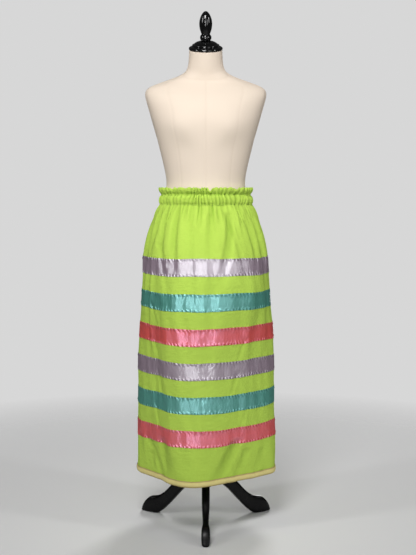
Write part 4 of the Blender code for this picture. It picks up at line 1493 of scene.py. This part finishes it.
# %% Turn the cap and the knob
NECK_TOP = (0, POLE_Y - 0.006, 1.458)
GAP = 0.0003
CAP_HEIGHT = 0.027
CAP_PROFILE = (
    (0.0, 0.0), (0.0485, 0.0), (0.0502, 0.0010), (0.0511, 0.0030), (0.0508, 0.0054),
    (0.0494, 0.0074), (0.0462, 0.0092), (0.0426, 0.0102), (0.0408, 0.0112), (0.0411, 0.0130),
    (0.0406, 0.0148), (0.0390, 0.0158), (0.0366, 0.0166), (0.0330, 0.0196), (0.0270, 0.0230),
    (0.0190, 0.0256), (0.0120, CAP_HEIGHT), (0.0, CAP_HEIGHT),
)
KNOB_PROFILE = (
    (0.0, 0.0), (0.0118, 0.0), (0.0150, 0.0018), (0.0168, 0.0052), (0.0173, 0.0090),
    (0.0167, 0.0128), (0.0149, 0.0158), (0.0134, 0.0172), (0.0128, 0.0184), (0.0134, 0.0206),
    (0.0154, 0.0262), (0.0175, 0.0330), (0.0187, 0.0400), (0.0194, 0.0480), (0.0190, 0.0550),
    (0.0177, 0.0625), (0.0152, 0.0700), (0.0117, 0.0768), (0.0076, 0.0824), (0.0036, 0.0855),
    (0.0, 0.0864),
)



def above_neck(height):
    """The place this far out along the neck's slanted axis."""
    return Vector(NECK_TOP) + Matrix.Rotation(NECK_SLANT, 3, "X") @ Vector((0, 0, height))


cap = turn_on_lathe("gloss_neck_cap", CAP_PROFILE, 72, 3)
set_in_place(cap, above_neck(GAP), NECK_SLANT)
finish_piece(cap, black_gloss, "black_gloss", "neck_cap")
knob = turn_on_lathe("gloss_knob", KNOB_PROFILE, 64, 3)
set_in_place(knob, above_neck(CAP_HEIGHT + 2 * GAP), NECK_SLANT)
finish_piece(knob, black_gloss, "black_gloss", "finial")

# %% [markdown]
# The hub and the pole
#
# Under the skirt a turned hub carries the legs, and a painted steel tube rises from it to the form.
# They hardly show, but they are seen from below, so they are turned as carefully as the cap.

# %% Turn the hub and the pole
HUB_TOP_Z = 0.275
HUB_PROFILE = (
    (0.0, 0.1120), (0.0100, 0.1120), (0.0180, 0.1138), (0.0240, 0.1180), (0.0260, 0.1230),
    (0.0262, 0.1460), (0.0260, 0.1690), (0.0272, 0.1722), (0.0300, 0.1762), (0.0306, 0.1796),
    (0.0298, 0.1834), (0.0240, 0.1900), (0.0208, 0.1970), (0.0190, 0.2250), (0.0208, 0.2430),
    (0.0232, 0.2570), (0.0250, 0.2625), (0.0246, 0.2672), (0.0205, 0.2730), (0.0170, HUB_TOP_Z),
    (0.0, HUB_TOP_Z),
)
hub = turn_on_lathe("turned_hub", HUB_PROFILE, 56, 2)
set_in_place(hub, (0, POLE_Y, 0))
finish_piece(hub, black_wood, "black_wood", "hub")

POLE_RADIUS = 0.0125
POLE_SPAN = (HUB_TOP_Z + GAP, 0.775 - GAP)
bpy.ops.object.select_all(action="DESELECT")
bpy.ops.mesh.primitive_cylinder_add(
    vertices=48,
    radius=POLE_RADIUS,
    depth=POLE_SPAN[1] - POLE_SPAN[0],
    end_fill_type="NGON",
    location=(0, POLE_Y, sum(POLE_SPAN) / 2),
)
pole = bpy.context.active_object
pole.name = pole.data.name = "painted_pole"
bpy.ops.object.mode_set(mode="EDIT")
bpy.ops.mesh.select_all(action="SELECT")
bpy.ops.mesh.bevel(offset=0.0008, segments=2, affect="EDGES")
bpy.ops.object.mode_set(mode="OBJECT")
bpy.ops.object.transform_apply(location=True, rotation=True, scale=True)
bpy.ops.object.shade_smooth_by_angle(angle=math.radians(35))
finish_piece(pole, black_paint, "black_pole", "pole")

# %% [markdown]
# The three legs
#
# Each leg is a plank sawn to an S and then rounded over at its edges. One is modelled as a loft of
# eight-sided sections along the S, rounded by a Subdivision Surface, and its foot is pressed flat on
# the floor. The other two are copies with their own meshes, turned a third of the way round.

# %% Carve one leg and copy it
LegSection = namedtuple("LegSection", "step top_reach top_z bottom_reach bottom_z half_width")
LEG_SECTIONS = (
    LegSection(0, 0.0259, 0.1660, 0.0259, 0.1240, 0.0110),
    LegSection(1, 0.0500, 0.1650, 0.0450, 0.1210, 0.0120),
    LegSection(2, 0.0760, 0.1510, 0.0620, 0.1090, 0.0125),
    LegSection(3, 0.1020, 0.1250, 0.0820, 0.0920, 0.0125),
    LegSection(4, 0.1280, 0.0970, 0.1040, 0.0680, 0.0120),
    LegSection(5, 0.1500, 0.0750, 0.1280, 0.0420, 0.0105),
    LegSection(6, 0.1720, 0.0600, 0.1520, 0.0180, 0.0095),
    LegSection(7, 0.1900, 0.0545, 0.1720, 0.0030, 0.0110),
    LegSection(8, 0.2060, 0.0505, 0.1840, 0.0, 0.0130),
    LegSection(9, 0.2210, 0.0370, 0.2150, 0.0, 0.0135),
    LegSection(10, 0.2315, 0.0200, 0.2295, 0.0, 0.0118),
    LegSection(11, 0.2373, 0.0060, 0.2360, 0.0, 0.0080),
)
LEG_CHAMFER = 0.0035
LEG_BEARINGS = {"leg_front": 0, "leg_right": 120, "leg_left": 240}


def leg_ring(step):
    """Eight points round the leg at a place along it, for a leg that runs to -Y from the world's centre."""
    top_reach, top_z, bottom_reach, bottom_z, half_width = (
        float(column[0]) for column in sections_at(LEG_SECTIONS, np.array([step]))
    )
    top, bottom = np.array((top_reach, top_z)), np.array((bottom_reach, max(bottom_z, 0.0)))
    height = np.linalg.norm(bottom - top)
    cut = min(LEG_CHAMFER, height / 3)
    down = (bottom - top) / height
    inset = half_width - cut
    right = [
        (inset, *top),
        (half_width, *(top + down * cut)),
        (half_width, *(bottom - down * cut)),
        (inset, *bottom),
    ]
    ring = right + [(-x, reach, z) for x, reach, z in reversed(right)]
    return np.array([(x, -reach, z) for x, reach, z in ring])


leg_steps = rows_up([section.step for section in LEG_SECTIONS], 3)
first_leg = loft("carved_leg_front", [leg_ring(step) for step in leg_steps])
close_ends(first_leg)
apply_modifier(first_leg, "SUBSURF", levels=2, render_levels=2)
flat_foot = points_of(first_leg)
flat_foot[:, 2] = np.maximum(flat_foot[:, 2], 0.0)
first_leg.data.vertices.foreach_set("co", flat_foot.ravel())
bpy.ops.object.shade_smooth()

legs = {"leg_front": first_leg}
for node in ("leg_right", "leg_left"):
    legs[node] = bpy.data.objects.new("carved_" + node, first_leg.data.copy())
    bpy.context.scene.collection.objects.link(legs[node])
for node, leg in legs.items():
    choose(leg)
    leg.location = (0, POLE_Y, 0)
    leg.rotation_euler = (0, 0, math.radians(LEG_BEARINGS[node]))
    bpy.ops.object.transform_apply(location=True, rotation=True, scale=True)
    finish_piece(leg, black_wood, "black_wood", node)
